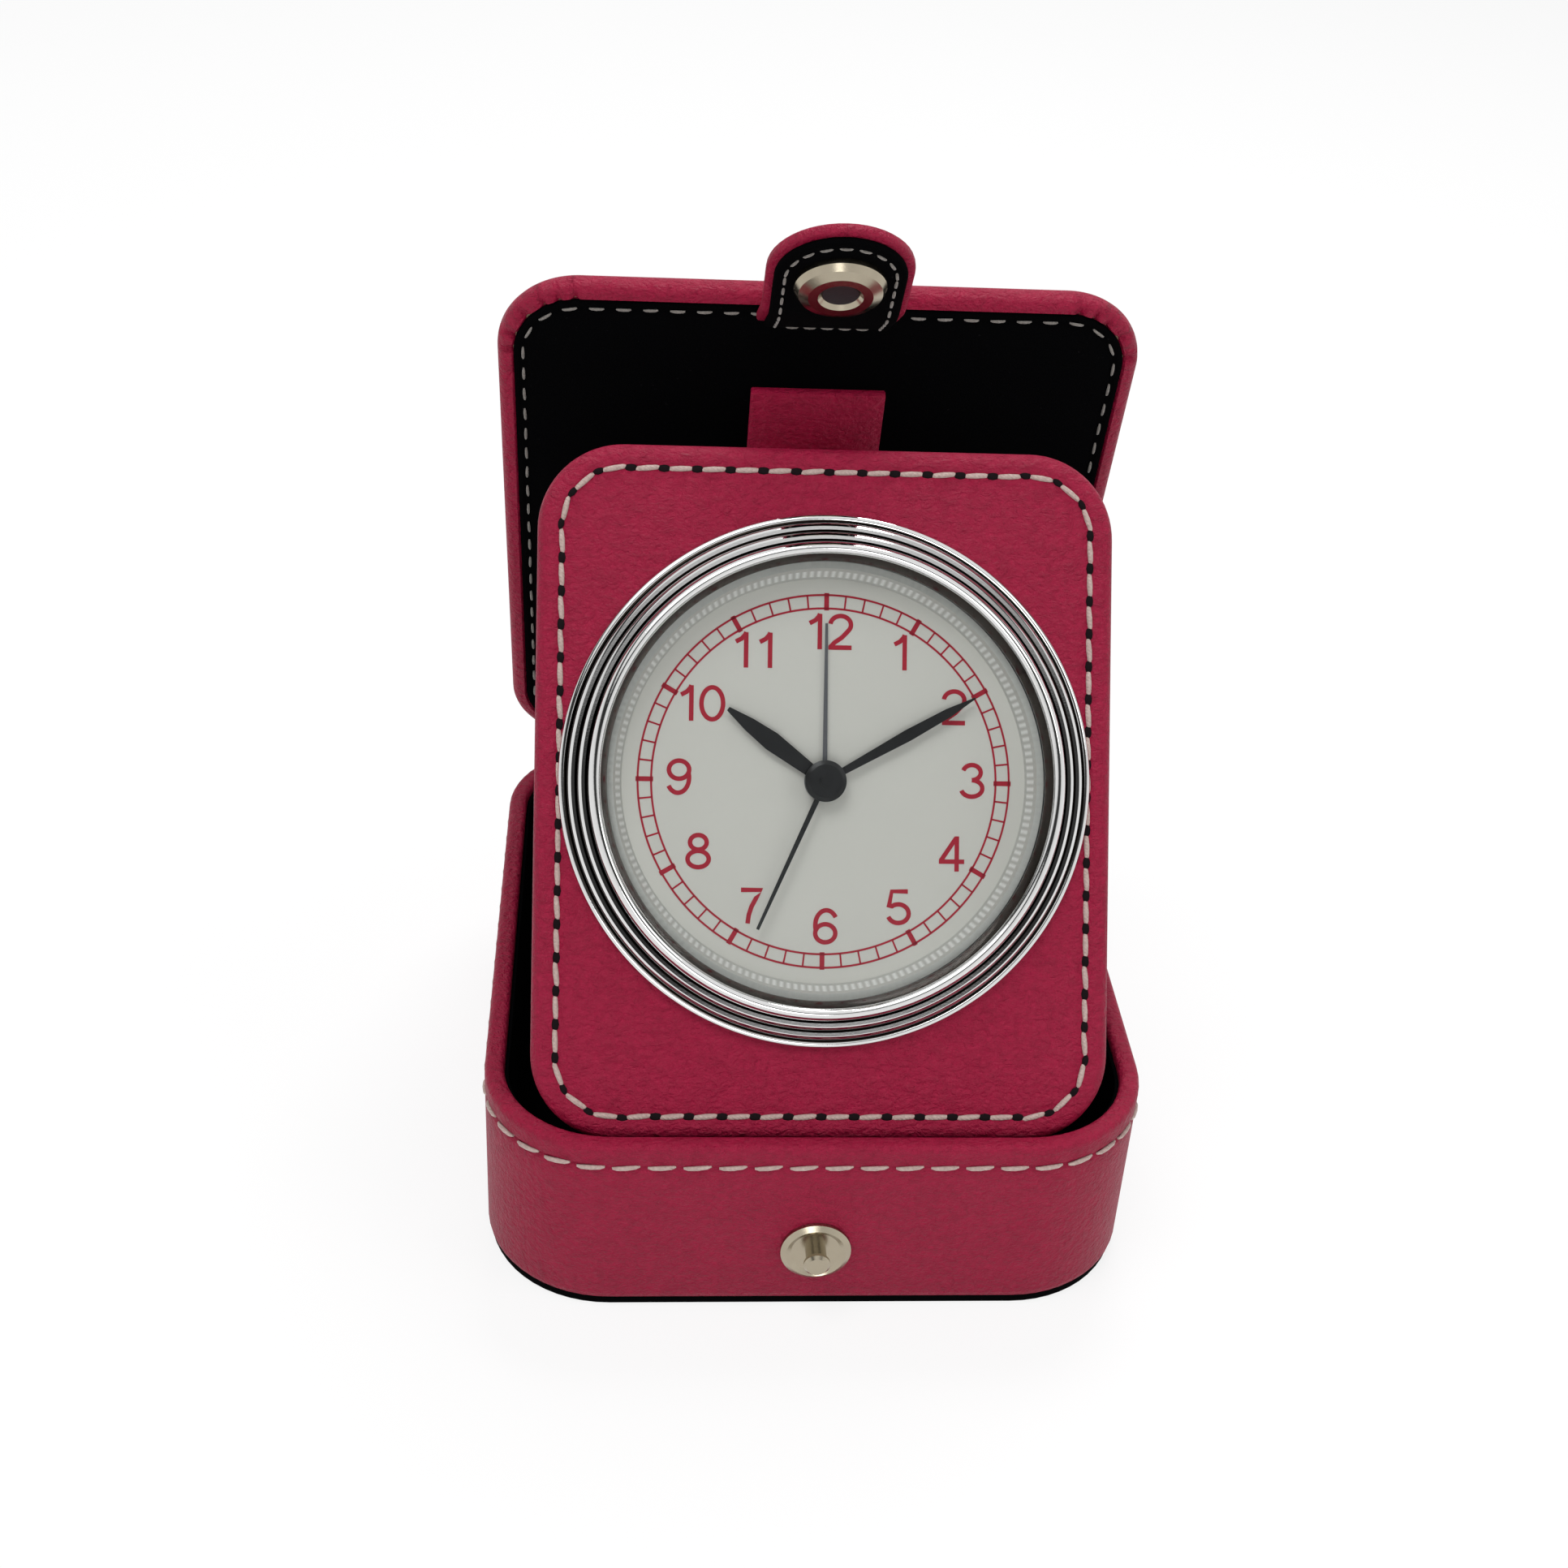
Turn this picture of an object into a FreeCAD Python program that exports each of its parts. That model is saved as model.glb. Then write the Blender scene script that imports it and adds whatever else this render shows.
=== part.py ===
import FreeCAD, Part
import math
import operator
import os
import types

import Sketcher

# Folding travel alarm clock in a leather case: a tray, a lid with a snap tab,
# and a leaning panel that carries a round insert clock.
# Lengths in millimetres, angles in degrees. X to the right, Y to the back, Z up,
# origin at the centre of the face that the tray stands on.

Vector = FreeCAD.Vector

driving_sizes = {
    # leather goods, common to tray, lid and panel
    "leather": 0.8,
    "velour": 0.5,
    "glue_gap": 0.02,
    "rim_round": 0.9,
    "base_round": 1.1,
    # tray
    "tray_width": 82.9,
    "tray_length": 92.0,
    "tray_height": 26.4,
    "tray_corner": 16.0,
    "tray_board": 1.4,
    "base_pad": 0.9,
    "base_pad_inset": 1.2,
    # lid flap
    "lid_length": 85.6,
    "lid_corner": 10.6,
    "lid_start": 1.3,
    "lid_board": 1.8,
    "lid_border": 2.6,
    "lid_lean": 18.0,
    "lid_pin_inset": 0.0,
    "lid_pin_rise": 0.3,
    # leaning panel
    "panel_width": 70.9,
    "panel_length": 84.8,
    "panel_corner": 10.5,
    "panel_board": 1.9,
    "panel_border": 6.0,
    "panel_lean": 33.0,
    "panel_front_gap": 0.6,
    "panel_drop": 1.9,
    "panel_edge_round": 1.2,
    # leather strips that hinge the lid and the panel, and the stay strap
    "strip_thickness": 0.9,
    "strip_width": 50.0,
    "strip_glue_length": 9.0,
    "strip_gap": 0.06,
    "strip_bend": 2.2,
    "strip_slack": 2.6,
    "strip_overhang": 1.8,
    "panel_strip_glue": 3.0,
    "strap_thickness": 1.3,
    "strap_width": 17.6,
    "strap_bend": 6.2,
    "strap_drop": 9.0,
    "strap_lid_height": 66.0,
    "strap_lid_sewn": 6.0,
    "strap_panel_height": 77.0,
    "strap_panel_sewn": 5.5,
    # snap tab on the lid
    "tab_width": 17.6,
    "tab_leather": 1.3,
    "tab_lining": 0.9,
    "tab_inset": 0.9,
    "tab_base": 84.0,
    "tab_gap": 0.12,
    "tab_root_length": 10.0,
    "tab_length": 27.4,
    "tab_root_bend": 45.0,
    "tab_tip_bend": 24.0,
    "tab_bend_radius": 14.0,
    # press snap
    "snap_height": 9.8,
    "stud_plate_radius": 4.4,
    "stud_plate_height": 0.9,
    "stud_ring_radius": 3.1,
    "stud_neck_radius": 1.3,
    "stud_head_radius": 1.65,
    "stud_length": 3.1,
    "stud_shank_radius": 1.0,
    "rivet_radius": 3.6,
    "rivet_height": 0.5,
    "socket_radius": 5.5,
    "socket_height": 2.0,
    "socket_hole_radius": 2.2,
    "socket_from_tip": 9.4,
    "socket_wire": 0.5,
    "cap_radius": 6.0,
    "cap_height": 1.0,
    "cap_shank_radius": 1.2,
    # insert clock
    "dial_height": 44.0,
    "bezel_radius": 32.5,
    "bezel_height": 5.0,
    "bezel_seat_radius": 30.5,
    "bezel_opening": 26.6,
    "fit_gap": 0.05,
    "lens_radius": 27.4,
    "lens_thickness": 1.2,
    "lip_height": 1.1,
    "lip_radius": 30.3,
    "can_radius": 27.7,
    "can_wall": 0.9,
    "can_depth": 16.4,
    "ledge_width": 1.8,
    "ledge_height": 0.8,
    "panel_hole": 28.4,
    "grip_ring_height": 2.4,
    "clamp_ring_radius": 31.0,
    "clamp_ring_height": 1.8,
    "dial_thickness": 0.4,
    "dial_recess": 1.6,
    "rehaut_inner": 24.9,
    "rehaut_top": 25.9,
    "back_boss_radius": 2.0,
    "back_boss_place": 24.9,
    "back_cover": 1.2,
    # hands, from the dial up
    "hand_thickness": 0.18,
    "hand_level": 0.32,
    "hand_pitch": 0.46,
    "hour_hand_length": 14.8,
    "hour_hand_width": 2.4,
    "minute_hand_length": 21.2,
    "minute_hand_width": 1.45,
    "second_hand_length": 19.9,
    "second_hand_width": 0.7,
    "alarm_hand_length": 19.4,
    "alarm_hand_width": 0.6,
    "hand_hub_margin": 0.85,
    "cap_hub_radius": 2.55,
    "cap_hub_height": 0.55,
    "cap_pin_radius": 0.7,
    "cap_pin_height": 0.22,
    "hour_hand_angle": 54.0,
    "minute_hand_angle": -60.4,
    "second_hand_angle": 156.0,
    "alarm_hand_angle": 0.0,
    # movement
    "running_gap": 0.05,
    "second_arbor": 0.3,
    "arbor_wall": 0.4,
    "movement_width": 36.0,
    "movement_length": 28.0,
    "movement_shift": 3.0,
    "movement_corner": 3.0,
    "movement_wall": 1.0,
    "movement_depth": 10.4,
    "wheel_thickness": 0.4,
    "pinion_height": 0.9,
    "motion_distance": 6.5,
    "alarm_wheel_level": 1.6,
    "hour_wheel_level": 2.4,
    "motion_wheel_level": 3.6,
    "centre_wheel_level": 4.7,
    "third_wheel_level": 6.0,
    "second_wheel_level": 7.1,
    "third_distance": 6.3,
    "step_distance": 6.0,
    "rotor_distance": 4.6,
    "step_direction": -20.0,
    "rotor_direction": -60.0,
    "third_direction": 215.0,
    "rotor_radius": 1.8,
    "rotor_height": 1.5,
    "pivot_depth": 0.5,
    "knob_y": 3.0,
    "knob_radius": 3.8,
    "knob_height": 2.0,
    "knob_stem": 0.8,
    "knob_flute": 0.5,
    "coil_length": 14.0,
    "coil_radius": 2.2,
    "coil_core": 0.7,
    "circuit_width": 20.0,
    "circuit_length": 7.0,
    "circuit_shift": 3.0,
    "crystal_radius": 1.0,
    "crystal_length": 6.0,
    "circuit_thickness": 0.6,
    # power, sound and switch
    "battery_radius": 5.8,
    "battery_height": 5.4,
    "battery_y": -18.4,
    "battery_gap": 0.5,
    "contact_thickness": 0.3,
    "hatch_radius": 7.0,
    "hatch_rim": 0.8,
    "battery_wall": 0.8,
    "sounder_radius": 6.0,
    "sounder_height": 1.2,
    "sounder_y": 9.0,
    "sound_slot_width": 0.9,
    "sound_slot_length": 7.0,
    "sound_slot_pitch": 2.0,
    "switch_y": -4.2,
    "switch_length": 3.2,
    "switch_width": 2.2,
    "switch_height": 1.2,
    "switch_travel": 3.0,
    "switch_flange": 0.6,
    # screws
    "screw_head_radius": 1.5,
    "screw_head_height": 0.7,
    "screw_shank_radius": 0.7,
    "screw_length": 4.0,
}

document = FreeCAD.newDocument("pendulette_clock")
sheet = document.addObject("Spreadsheet::Sheet", "Sizes")


class Size:
    """A number of the sheet, or one worked out from several, with its expression."""

    def __init__(self, text, value):
        self.text = text
        self.value = value

    def __add__(self, other):
        return joined(self, "+", operator.add, other)

    def __radd__(self, other):
        return joined(other, "+", operator.add, self)

    def __sub__(self, other):
        return joined(self, "-", operator.sub, other)

    def __rsub__(self, other):
        return joined(other, "-", operator.sub, self)

    def __mul__(self, other):
        return joined(self, "*", operator.mul, other)

    def __rmul__(self, other):
        return joined(other, "*", operator.mul, self)

    def __truediv__(self, other):
        return joined(self, "/", operator.truediv, other)

    def __neg__(self):
        return 0 - self


def as_size(number):
    if isinstance(number, Size):
        return number
    return Size("%.10g" % number, float(number))


def joined(left, sign, work, right):
    left = as_size(left)
    right = as_size(right)
    return Size("(%s %s %s)" % (left.text, sign, right.text), work(left.value, right.value))


def cosine(angle):
    angle = as_size(angle)
    return Size("cos(%s)" % angle.text, math.cos(math.radians(angle.value)))


def sine(angle):
    angle = as_size(angle)
    return Size("sin(%s)" % angle.text, math.sin(math.radians(angle.value)))


def root(number):
    return Size("sqrt(%s)" % number.text, math.sqrt(number.value))


for row, (name, number) in enumerate(driving_sizes.items(), start=1):
    sheet.set("A%d" % row, name)
    sheet.set("B%d" % row, str(number))
    sheet.setAlias("B%d" % row, name)
document.recompute()
size = types.SimpleNamespace(
    **{name: Size("Sizes." + name, number) for name, number in driving_sizes.items()}
)


class Frame:
    """A plane that leans about X: its own Y runs up the piece, its own Z out of its face."""

    def __init__(self, y, z, tilt):
        self.y = as_size(y)
        self.z = as_size(z)
        self.tilt = as_size(tilt)

    def place(self, x, y, z):
        along = cosine(self.tilt)
        across = sine(self.tilt)
        return (
            as_size(x),
            self.y + y * along - z * across,
            self.z + y * across + z * along,
        )

    def moved(self, y, z):
        new_place = self.place(0, y, z)
        return Frame(new_place[1], new_place[2], self.tilt)


def bind(thing, path, number):
    thing.setExpression(path, as_size(number).text)


def seat(piece, frame, x=0, y=0, z=0):
    """Put a sub-part at a place of a frame and keep it there when a size changes."""
    place = frame.place(x, y, z)
    base = Vector(*[coordinate.value for coordinate in place])
    piece.Placement = FreeCAD.Placement(base, FreeCAD.Rotation(Vector(1, 0, 0), frame.tilt.value))
    for axis, coordinate in zip("xyz", place):
        bind(piece, "Placement.Base." + axis, coordinate)
    bind(piece, "Placement.Rotation.Angle", frame.tilt)


node_names = []


def new_body(name, frame, x=0, y=0, z=0):
    body = document.addObject("PartDesign::Body", name)
    body.Label = name
    seat(body, frame, x, y, z)
    node_names.append(name)
    return body


def new_sketch(body, role, level=0, turn=0):
    """A sketch on one of the body's own planes, raised by level and turned about its normal."""
    sketch = body.newObject("Sketcher::SketchObject", body.Name + "_outline")
    plane = [feature for feature in body.Origin.OriginFeatures if feature.Role == role][0]
    sketch.AttachmentSupport = [(plane, "")]
    sketch.MapMode = "FlatFace"
    level = as_size(level)
    turn = as_size(turn)
    sketch.AttachmentOffset = FreeCAD.Placement(
        Vector(0, 0, level.value), FreeCAD.Rotation(Vector(0, 0, 1), turn.value)
    )
    bind(sketch, "AttachmentOffset.Base.z", level)
    if turn.text != "0":
        bind(sketch, "AttachmentOffset.Rotation.Angle", turn)
    return sketch


def hold(sketch, kind, *where_and_size):
    number = as_size(where_and_size[-1])
    index = sketch.addConstraint(
        Sketcher.Constraint(kind, *where_and_size[:-1], number.value)
    )
    sketch.setExpression("Constraints[%d]" % index, number.text)


def outline(points):
    """Straight lines through points, each point held at its own place."""

    def draw(sketch):
        first = sketch.GeometryCount
        places = [tuple(as_size(coordinate) for coordinate in point) for point in points]
        count = len(places)
        corners = [Vector(x.value, y.value, 0) for x, y in places]
        for index in range(count):
            start = corners[index]
            end = corners[(index + 1) % count]
            sketch.addGeometry(Part.LineSegment(start, end), False)
        for index, (x, y) in enumerate(places):
            line = first + index
            following = first + (index + 1) % count
            sketch.addConstraint(Sketcher.Constraint("Coincident", line, 2, following, 1))
            hold(sketch, "DistanceX", line, 1, x)
            hold(sketch, "DistanceY", line, 1, y)

    return draw


def circle(radius, x=0, y=0):
    def draw(sketch):
        index = sketch.GeometryCount
        centre = Vector(as_size(x).value, as_size(y).value, 0)
        radius_size = as_size(radius)
        sketch.addGeometry(Part.Circle(centre, Vector(0, 0, 1), radius_size.value), False)
        hold(sketch, "Radius", index, radius_size)
        hold(sketch, "DistanceX", index, 3, x)
        hold(sketch, "DistanceY", index, 3, y)

    return draw


def rounded(width, length, radius, x=0, y=0):
    """A rectangle with round corners, centred on x, y: four lines and four tangent arcs."""

    def draw(sketch):
        first = sketch.GeometryCount
        half_x = as_size(width) / 2
        half_y = as_size(length) / 2
        corner = as_size(radius)
        centre_x = as_size(x)
        centre_y = as_size(y)
        middle = Vector(centre_x.value, centre_y.value, 0)
        far_x = half_x.value
        far_y = half_y.value
        near_x = (half_x - corner).value
        near_y = (half_y - corner).value
        sides = [
            ((-near_x, -far_y), (near_x, -far_y)),
            ((far_x, -near_y), (far_x, near_y)),
            ((near_x, far_y), (-near_x, far_y)),
            ((-far_x, near_y), (-far_x, -near_y)),
        ]
        centres = [(near_x, -near_y), (near_x, near_y), (-near_x, near_y), (-near_x, -near_y)]
        for index, (start, end) in enumerate(sides):
            line = Part.LineSegment(middle + Vector(*start, 0), middle + Vector(*end, 0))
            sketch.addGeometry(line, False)
            round_corner = Part.Circle(
                middle + Vector(*centres[index], 0), Vector(0, 0, 1), corner.value
            )
            begin = math.radians(90 * (index - 1))
            finish = math.radians(90 * index)
            sketch.addGeometry(Part.ArcOfCircle(round_corner, begin, finish), False)
        for index in range(4):
            line = first + 2 * index
            arc = line + 1
            following = first + (2 * index + 2) % 8
            sketch.addConstraint(Sketcher.Constraint("Tangent", line, 2, arc, 1))
            sketch.addConstraint(Sketcher.Constraint("Tangent", arc, 2, following, 1))
        for kind, line in (("Horizontal", 0), ("Horizontal", 4), ("Vertical", 2), ("Vertical", 6)):
            sketch.addConstraint(Sketcher.Constraint(kind, first + line))
        for arc in (3, 5, 7):
            sketch.addConstraint(Sketcher.Constraint("Equal", first + 1, first + arc))
        hold(sketch, "Radius", first + 1, corner)
        hold(sketch, "DistanceY", first, 1, centre_y - half_y)
        hold(sketch, "DistanceY", first + 4, 1, centre_y + half_y)
        hold(sketch, "DistanceX", first + 2, 1, centre_x + half_x)
        hold(sketch, "DistanceX", first + 6, 1, centre_x - half_x)

    return draw


def profile(body, draws, role="XY_Plane", level=0, turn=0):
    sketch = new_sketch(body, role, level, turn)
    for draw in draws:
        draw(sketch)
    return sketch


def pad(body, draws, bottom, height, turn=0):
    """Raise an outline, with any inner outlines as holes, from bottom by height."""
    feature = body.newObject("PartDesign::Pad", body.Name + "_pad")
    feature.Profile = profile(body, draws, level=bottom, turn=turn)
    bind(feature, "Length", height)
    document.recompute()
    return feature


def pocket(body, draws, top, depth, turn=0):
    """Cut an outline downwards from top by depth, and stop if nothing was cut."""
    volume = body.Shape.Volume
    feature = body.newObject("PartDesign::Pocket", body.Name + "_pocket")
    feature.Profile = profile(body, draws, level=top, turn=turn)
    bind(feature, "Length", depth)
    document.recompute()
    if not body.Shape.Volume < volume:
        raise RuntimeError("a pocket of %s cuts nothing" % body.Name)
    return feature


def revolve(body, points):
    """Turn an outline of radius and height about the body's own Z."""
    feature = body.newObject("PartDesign::Revolution", body.Name + "_turned")
    feature.Profile = profile(body, [outline(points)], role="XZ_Plane")
    feature.ReferenceAxis = (feature.Profile[0], ["V_Axis"])
    feature.Angle = 360
    document.recompute()
    return feature


def repeat_round(body, features, count):
    """Copy features evenly round the body's own Z."""
    pattern = body.newObject("PartDesign::PolarPattern", body.Name + "_pattern")
    pattern.Originals = features
    axis = [item for item in body.Origin.OriginFeatures if item.Role == "Z_Axis"][0]
    pattern.Axis = (axis, [""])
    pattern.Angle = 360
    pattern.Occurrences = count
    body.Tip = pattern
    document.recompute()
    return pattern


def round_edges(body, radius, wanted):
    """Fillet every edge of the body that the test wanted picks, by its own coordinates."""
    tip = body.Tip
    names = []
    for index, edge in enumerate(tip.Shape.Edges, start=1):
        if wanted(edge):
            names.append("Edge%d" % index)
    feature = body.newObject("PartDesign::Fillet", body.Name + "_rounds")
    feature.Base = (tip, names)
    bind(feature, "Radius", radius)
    document.recompute()
    return feature


tiny = 1e-3


def ring_edges(level, inset, width, length, radius):
    """A test for the flat edges at a level that lie inset from a rounded rectangle."""
    half_x = width.value / 2 - radius.value
    half_y = length.value / 2 - radius.value

    def wanted(edge):
        middle = edge.valueAt((edge.FirstParameter + edge.LastParameter) / 2)
        start = edge.valueAt(edge.FirstParameter)
        across = max(abs(middle.x) - half_x, 0)
        along = max(abs(middle.y) - half_y, 0)
        reach = math.hypot(across, along)
        if reach == 0:
            return False
        flat = abs(start.z - level.value) < tiny and abs(middle.z - level.value) < tiny
        return flat and abs(radius.value - reach - inset.value) < tiny

    return wanted


# Places that the pieces share
wall = size.leather + size.tray_board + size.velour
lid_thickness = size.leather + size.lid_board + size.leather
panel_thickness = size.leather + size.panel_board + size.leather
ground = Frame(0, 0, 0)
lid_frame = Frame(
    size.tray_length / 2 - size.lid_pin_inset,
    size.tray_height + size.lid_pin_rise,
    90 + size.lid_lean,
)
lid_middle = size.lid_start + size.lid_length / 2
lid_centre = lid_frame.moved(lid_middle, 0)
panel_frame = Frame(
    wall + size.panel_front_gap - size.tray_length / 2,
    size.tray_height - size.panel_drop,
    90 - size.panel_lean,
)
panel_middle = size.panel_length / 2
panel_centre = panel_frame.moved(panel_middle, 0)
dial_frame = panel_frame.moved(size.dial_height, 0)
front_frame = Frame(-(size.tray_length / 2), size.snap_height, 90)


def tray_plan(inset):
    return rounded(
        size.tray_width - 2 * inset, size.tray_length - 2 * inset, size.tray_corner - inset
    )


def lid_plan(inset):
    return rounded(
        size.tray_width - 2 * inset, size.lid_length - 2 * inset, size.lid_corner - inset
    )


def panel_plan(inset):
    return rounded(
        size.panel_width - 2 * inset, size.panel_length - 2 * inset, size.panel_corner - inset
    )


panel_bore = circle(size.panel_hole, 0, size.dial_height - panel_middle)
gap = size.glue_gap


# Tray: leather over a greyboard box, velour inside, a pad underneath
def make_tray():
    skin_floor = size.base_pad
    board_floor = skin_floor + size.leather
    board_top = size.tray_height - size.leather
    velour_floor = board_floor + size.tray_board
    inner_wall = size.leather + size.tray_board

    body = new_body("tray_wrap", ground)
    pad(body, [tray_plan(0)], skin_floor, size.tray_height - skin_floor)
    pocket(body, [tray_plan(wall)], size.tray_height, size.tray_height - board_top)
    pocket(body, [tray_plan(size.leather)], board_top, board_top - board_floor)
    top_edge = (size.tray_height, size.tray_width, size.tray_length, size.tray_corner)
    round_edges(body, size.rim_round, ring_edges(top_edge[0], as_size(0), *top_edge[1:]))
    round_edges(body, size.rim_round / 2, ring_edges(top_edge[0], wall, *top_edge[1:]))
    round_edges(body, size.base_round / 2, ring_edges(skin_floor, as_size(0), *top_edge[1:]))
    drill_front(body)

    body = new_body("tray_board", ground)
    outer = size.leather + gap
    pad(body, [tray_plan(outer)], board_floor, board_top - gap - board_floor)
    pocket(body, [tray_plan(inner_wall)], board_top, board_top - velour_floor)
    drill_front(body)

    body = new_body("tray_lining", ground)
    pad(body, [tray_plan(inner_wall + gap)], velour_floor, board_top - gap - velour_floor)
    pocket(body, [tray_plan(wall)], board_top, board_top - velour_floor - size.velour)
    drill_front(body)

    body = new_body("base_pad", ground)
    pad(body, [tray_plan(size.base_pad_inset)], 0, size.base_pad)


# Lid: a flat board in turned leather, velour on the inner side
def make_lid():
    back = 0 - lid_thickness
    board_back = back + size.leather
    board_front = board_back + size.lid_board
    edges = (size.tray_width, size.lid_length, size.lid_corner)

    body = new_body("lid_wrap", lid_centre)
    pad(body, [lid_plan(0)], back, lid_thickness)
    pocket(body, [lid_plan(size.lid_border)], 0, size.leather)
    pocket(body, [lid_plan(size.leather)], board_front, size.lid_board)
    round_edges(body, size.rim_round, ring_edges(back, as_size(0), *edges))
    round_edges(body, size.rim_round, ring_edges(as_size(0), as_size(0), *edges))

    body = new_body("lid_board", lid_centre)
    pad(body, [lid_plan(size.leather + gap)], board_back, size.lid_board)

    body = new_body("lid_lining", lid_centre)
    pad(body, [lid_plan(size.lid_border + gap)], board_front, size.leather - gap)


# Leaning panel: leather turned over a board, velour on its back, a bore for the clock
def make_panel():
    back = 0 - panel_thickness
    board_back = back + size.leather
    edges = (size.panel_width, size.panel_length, size.panel_corner)

    body = new_body("panel_wrap", panel_centre)
    pad(body, [panel_plan(0)], back, panel_thickness)
    pocket(body, [panel_plan(size.leather)], board_back + size.panel_board, size.panel_board)
    pocket(body, [panel_plan(size.panel_border)], board_back, size.leather)
    pocket(body, [panel_bore], 0, size.leather)
    round_edges(body, size.panel_edge_round, ring_edges(as_size(0), as_size(0), *edges))
    round_edges(body, size.rim_round, ring_edges(back, as_size(0), *edges))

    body = new_body("panel_board", panel_centre)
    pad(body, [panel_plan(size.leather + gap), panel_bore], board_back, size.panel_board)

    body = new_body("panel_backing", panel_centre)
    pad(body, [panel_plan(size.panel_border + gap), panel_bore], back + gap, size.leather - gap)


# Bands of leather: a path of straight runs and round bends, with a thickness
def bend_points(corner, before, after, radius):
    """Where a round bend of a path begins, its middle, and where it ends."""
    to_before = (before - corner).normalize()
    to_after = (after - corner).normalize()
    half = to_before.getAngle(to_after) / 2
    reach = radius / math.tan(half)
    bisector = (to_before + to_after).normalize()
    centre = corner + bisector * (radius / math.sin(half))
    return corner + to_before * reach, centre - bisector * radius, corner + to_after * reach


def offset_path(places, radii, offset):
    """The path moved sideways: its two ends, and its lines and arcs."""
    corners = []
    last = len(places) - 1
    for index, place in enumerate(places):
        arriving = (place - places[index - 1]).normalize() if index > 0 else None
        leaving = (places[index + 1] - place).normalize() if index < last else None
        arriving = arriving or leaving
        leaving = leaving or arriving
        normal = Vector(0, -arriving.z - leaving.z, arriving.y + leaving.y).normalize()
        stretch = 1 / math.cos(arriving.getAngle(leaving) / 2)
        corners.append(place + normal * (offset * stretch))
    edges = []
    start = corners[0]
    for index in range(1, last):
        turn = (places[index] - places[index - 1]).cross(places[index + 1] - places[index]).x
        radius = radii[index - 1] - math.copysign(offset, turn * offset)
        begin, middle, finish = bend_points(
            corners[index], corners[index - 1], corners[index + 1], radius
        )
        edges.append(Part.LineSegment(start, begin).toShape())
        edges.append(Part.Arc(begin, middle, finish).toShape())
        start = finish
    edges.append(Part.LineSegment(start, corners[last]).toShape())
    return corners[0], corners[last], edges


def band_solid(corners, radii, low, high, width):
    """A band about X between two offsets of a path of straight runs and round bends."""
    places = [Vector(0, as_size(y).value, as_size(z).value) for y, z in corners]
    bends = [radius.value for radius in radii]
    near_start, near_end, near_edges = offset_path(places, bends, as_size(low).value)
    far_start, far_end, far_edges = offset_path(places, bends, as_size(high).value)
    caps = [
        Part.LineSegment(near_start, far_start).toShape(),
        Part.LineSegment(near_end, far_end).toShape(),
    ]
    face = Part.Face(Part.Wire(Part.__sortEdges__(near_edges + far_edges + caps)))
    face.translate(Vector(-width.value / 2, 0, 0))
    return face.extrude(Vector(width.value, 0, 0))


def new_piece(name, shape, frame):
    piece = document.addObject("Part::Feature", name)
    piece.Label = name
    piece.Shape = shape
    seat(piece, frame)
    node_names.append(name)
    return piece


def make_strips():
    """Leather hinges of the lid and the panel, glued on both sides and bent between."""
    half = size.strip_thickness / 2
    off_face = half + size.strip_gap

    wall_back = size.tray_length / 2 + off_face
    off_lid = -(lid_thickness + off_face)
    bend_start = size.tray_height - size.strip_slack
    corners = [
        (wall_back, bend_start - size.strip_glue_length),
        (wall_back, bend_start),
        lid_frame.place(0, size.lid_start - size.strip_overhang, off_lid)[1:],
        lid_frame.place(0, size.lid_start + size.strip_glue_length, off_lid)[1:],
    ]
    strip = band_solid(corners, [size.strip_bend] * 2, -half, half, size.strip_width)
    new_piece("lid_hinge_leather", strip, ground)

    wall_front = wall + off_face - size.tray_length / 2
    off_panel = -(panel_thickness + off_face)
    back_plane = panel_frame.place(0, 0, off_panel)
    run_down = (back_plane[1] - wall_front) / cosine(panel_frame.tilt)
    bend = panel_frame.place(0, -run_down, off_panel)
    corners = [
        (wall_front, bend[2] - size.panel_strip_glue),
        bend[1:],
        panel_frame.place(0, size.strip_glue_length, off_panel)[1:],
    ]
    strip = band_solid(corners, [size.strip_bend], -half, half, size.strip_width)
    new_piece("panel_hinge_leather", strip, ground)


def make_strap():
    """The stay strap: sewn to the lid, down in a loop, and up the back of the panel."""
    half = size.strap_thickness / 2
    off_lid = half + size.strip_gap
    off_panel = -(panel_thickness + off_lid)
    lid_top = size.strap_lid_height + size.strap_lid_sewn
    panel_top = size.strap_panel_height + size.strap_panel_sewn
    corners = [
        lid_frame.place(0, lid_top, off_lid)[1:],
        lid_frame.place(0, size.strap_lid_height - size.strap_drop, off_lid)[1:],
        panel_frame.place(0, size.strap_panel_height - size.strap_drop, off_panel)[1:],
        panel_frame.place(0, panel_top, off_panel)[1:],
    ]
    bends = [size.strap_bend, size.strap_bend]
    new_piece("stay_strap", band_solid(corners, bends, -half, half, size.strap_width), ground)


# Snap tab: leather and lining, bent forward from the lid's edge, with a half round end
tab_root = lid_frame.moved(size.tab_base, size.tab_gap + size.tab_leather / 2)
tab_bend = Frame(
    tab_root.y + size.tab_root_length * cosine(tab_root.tilt + size.tab_root_bend),
    tab_root.z + size.tab_root_length * sine(tab_root.tilt + size.tab_root_bend),
    tab_root.tilt + size.tab_root_bend - size.tab_tip_bend,
)
tab_tip_length = size.tab_length - size.tab_root_length
snap_place = tab_tip_length - size.socket_from_tip


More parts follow.
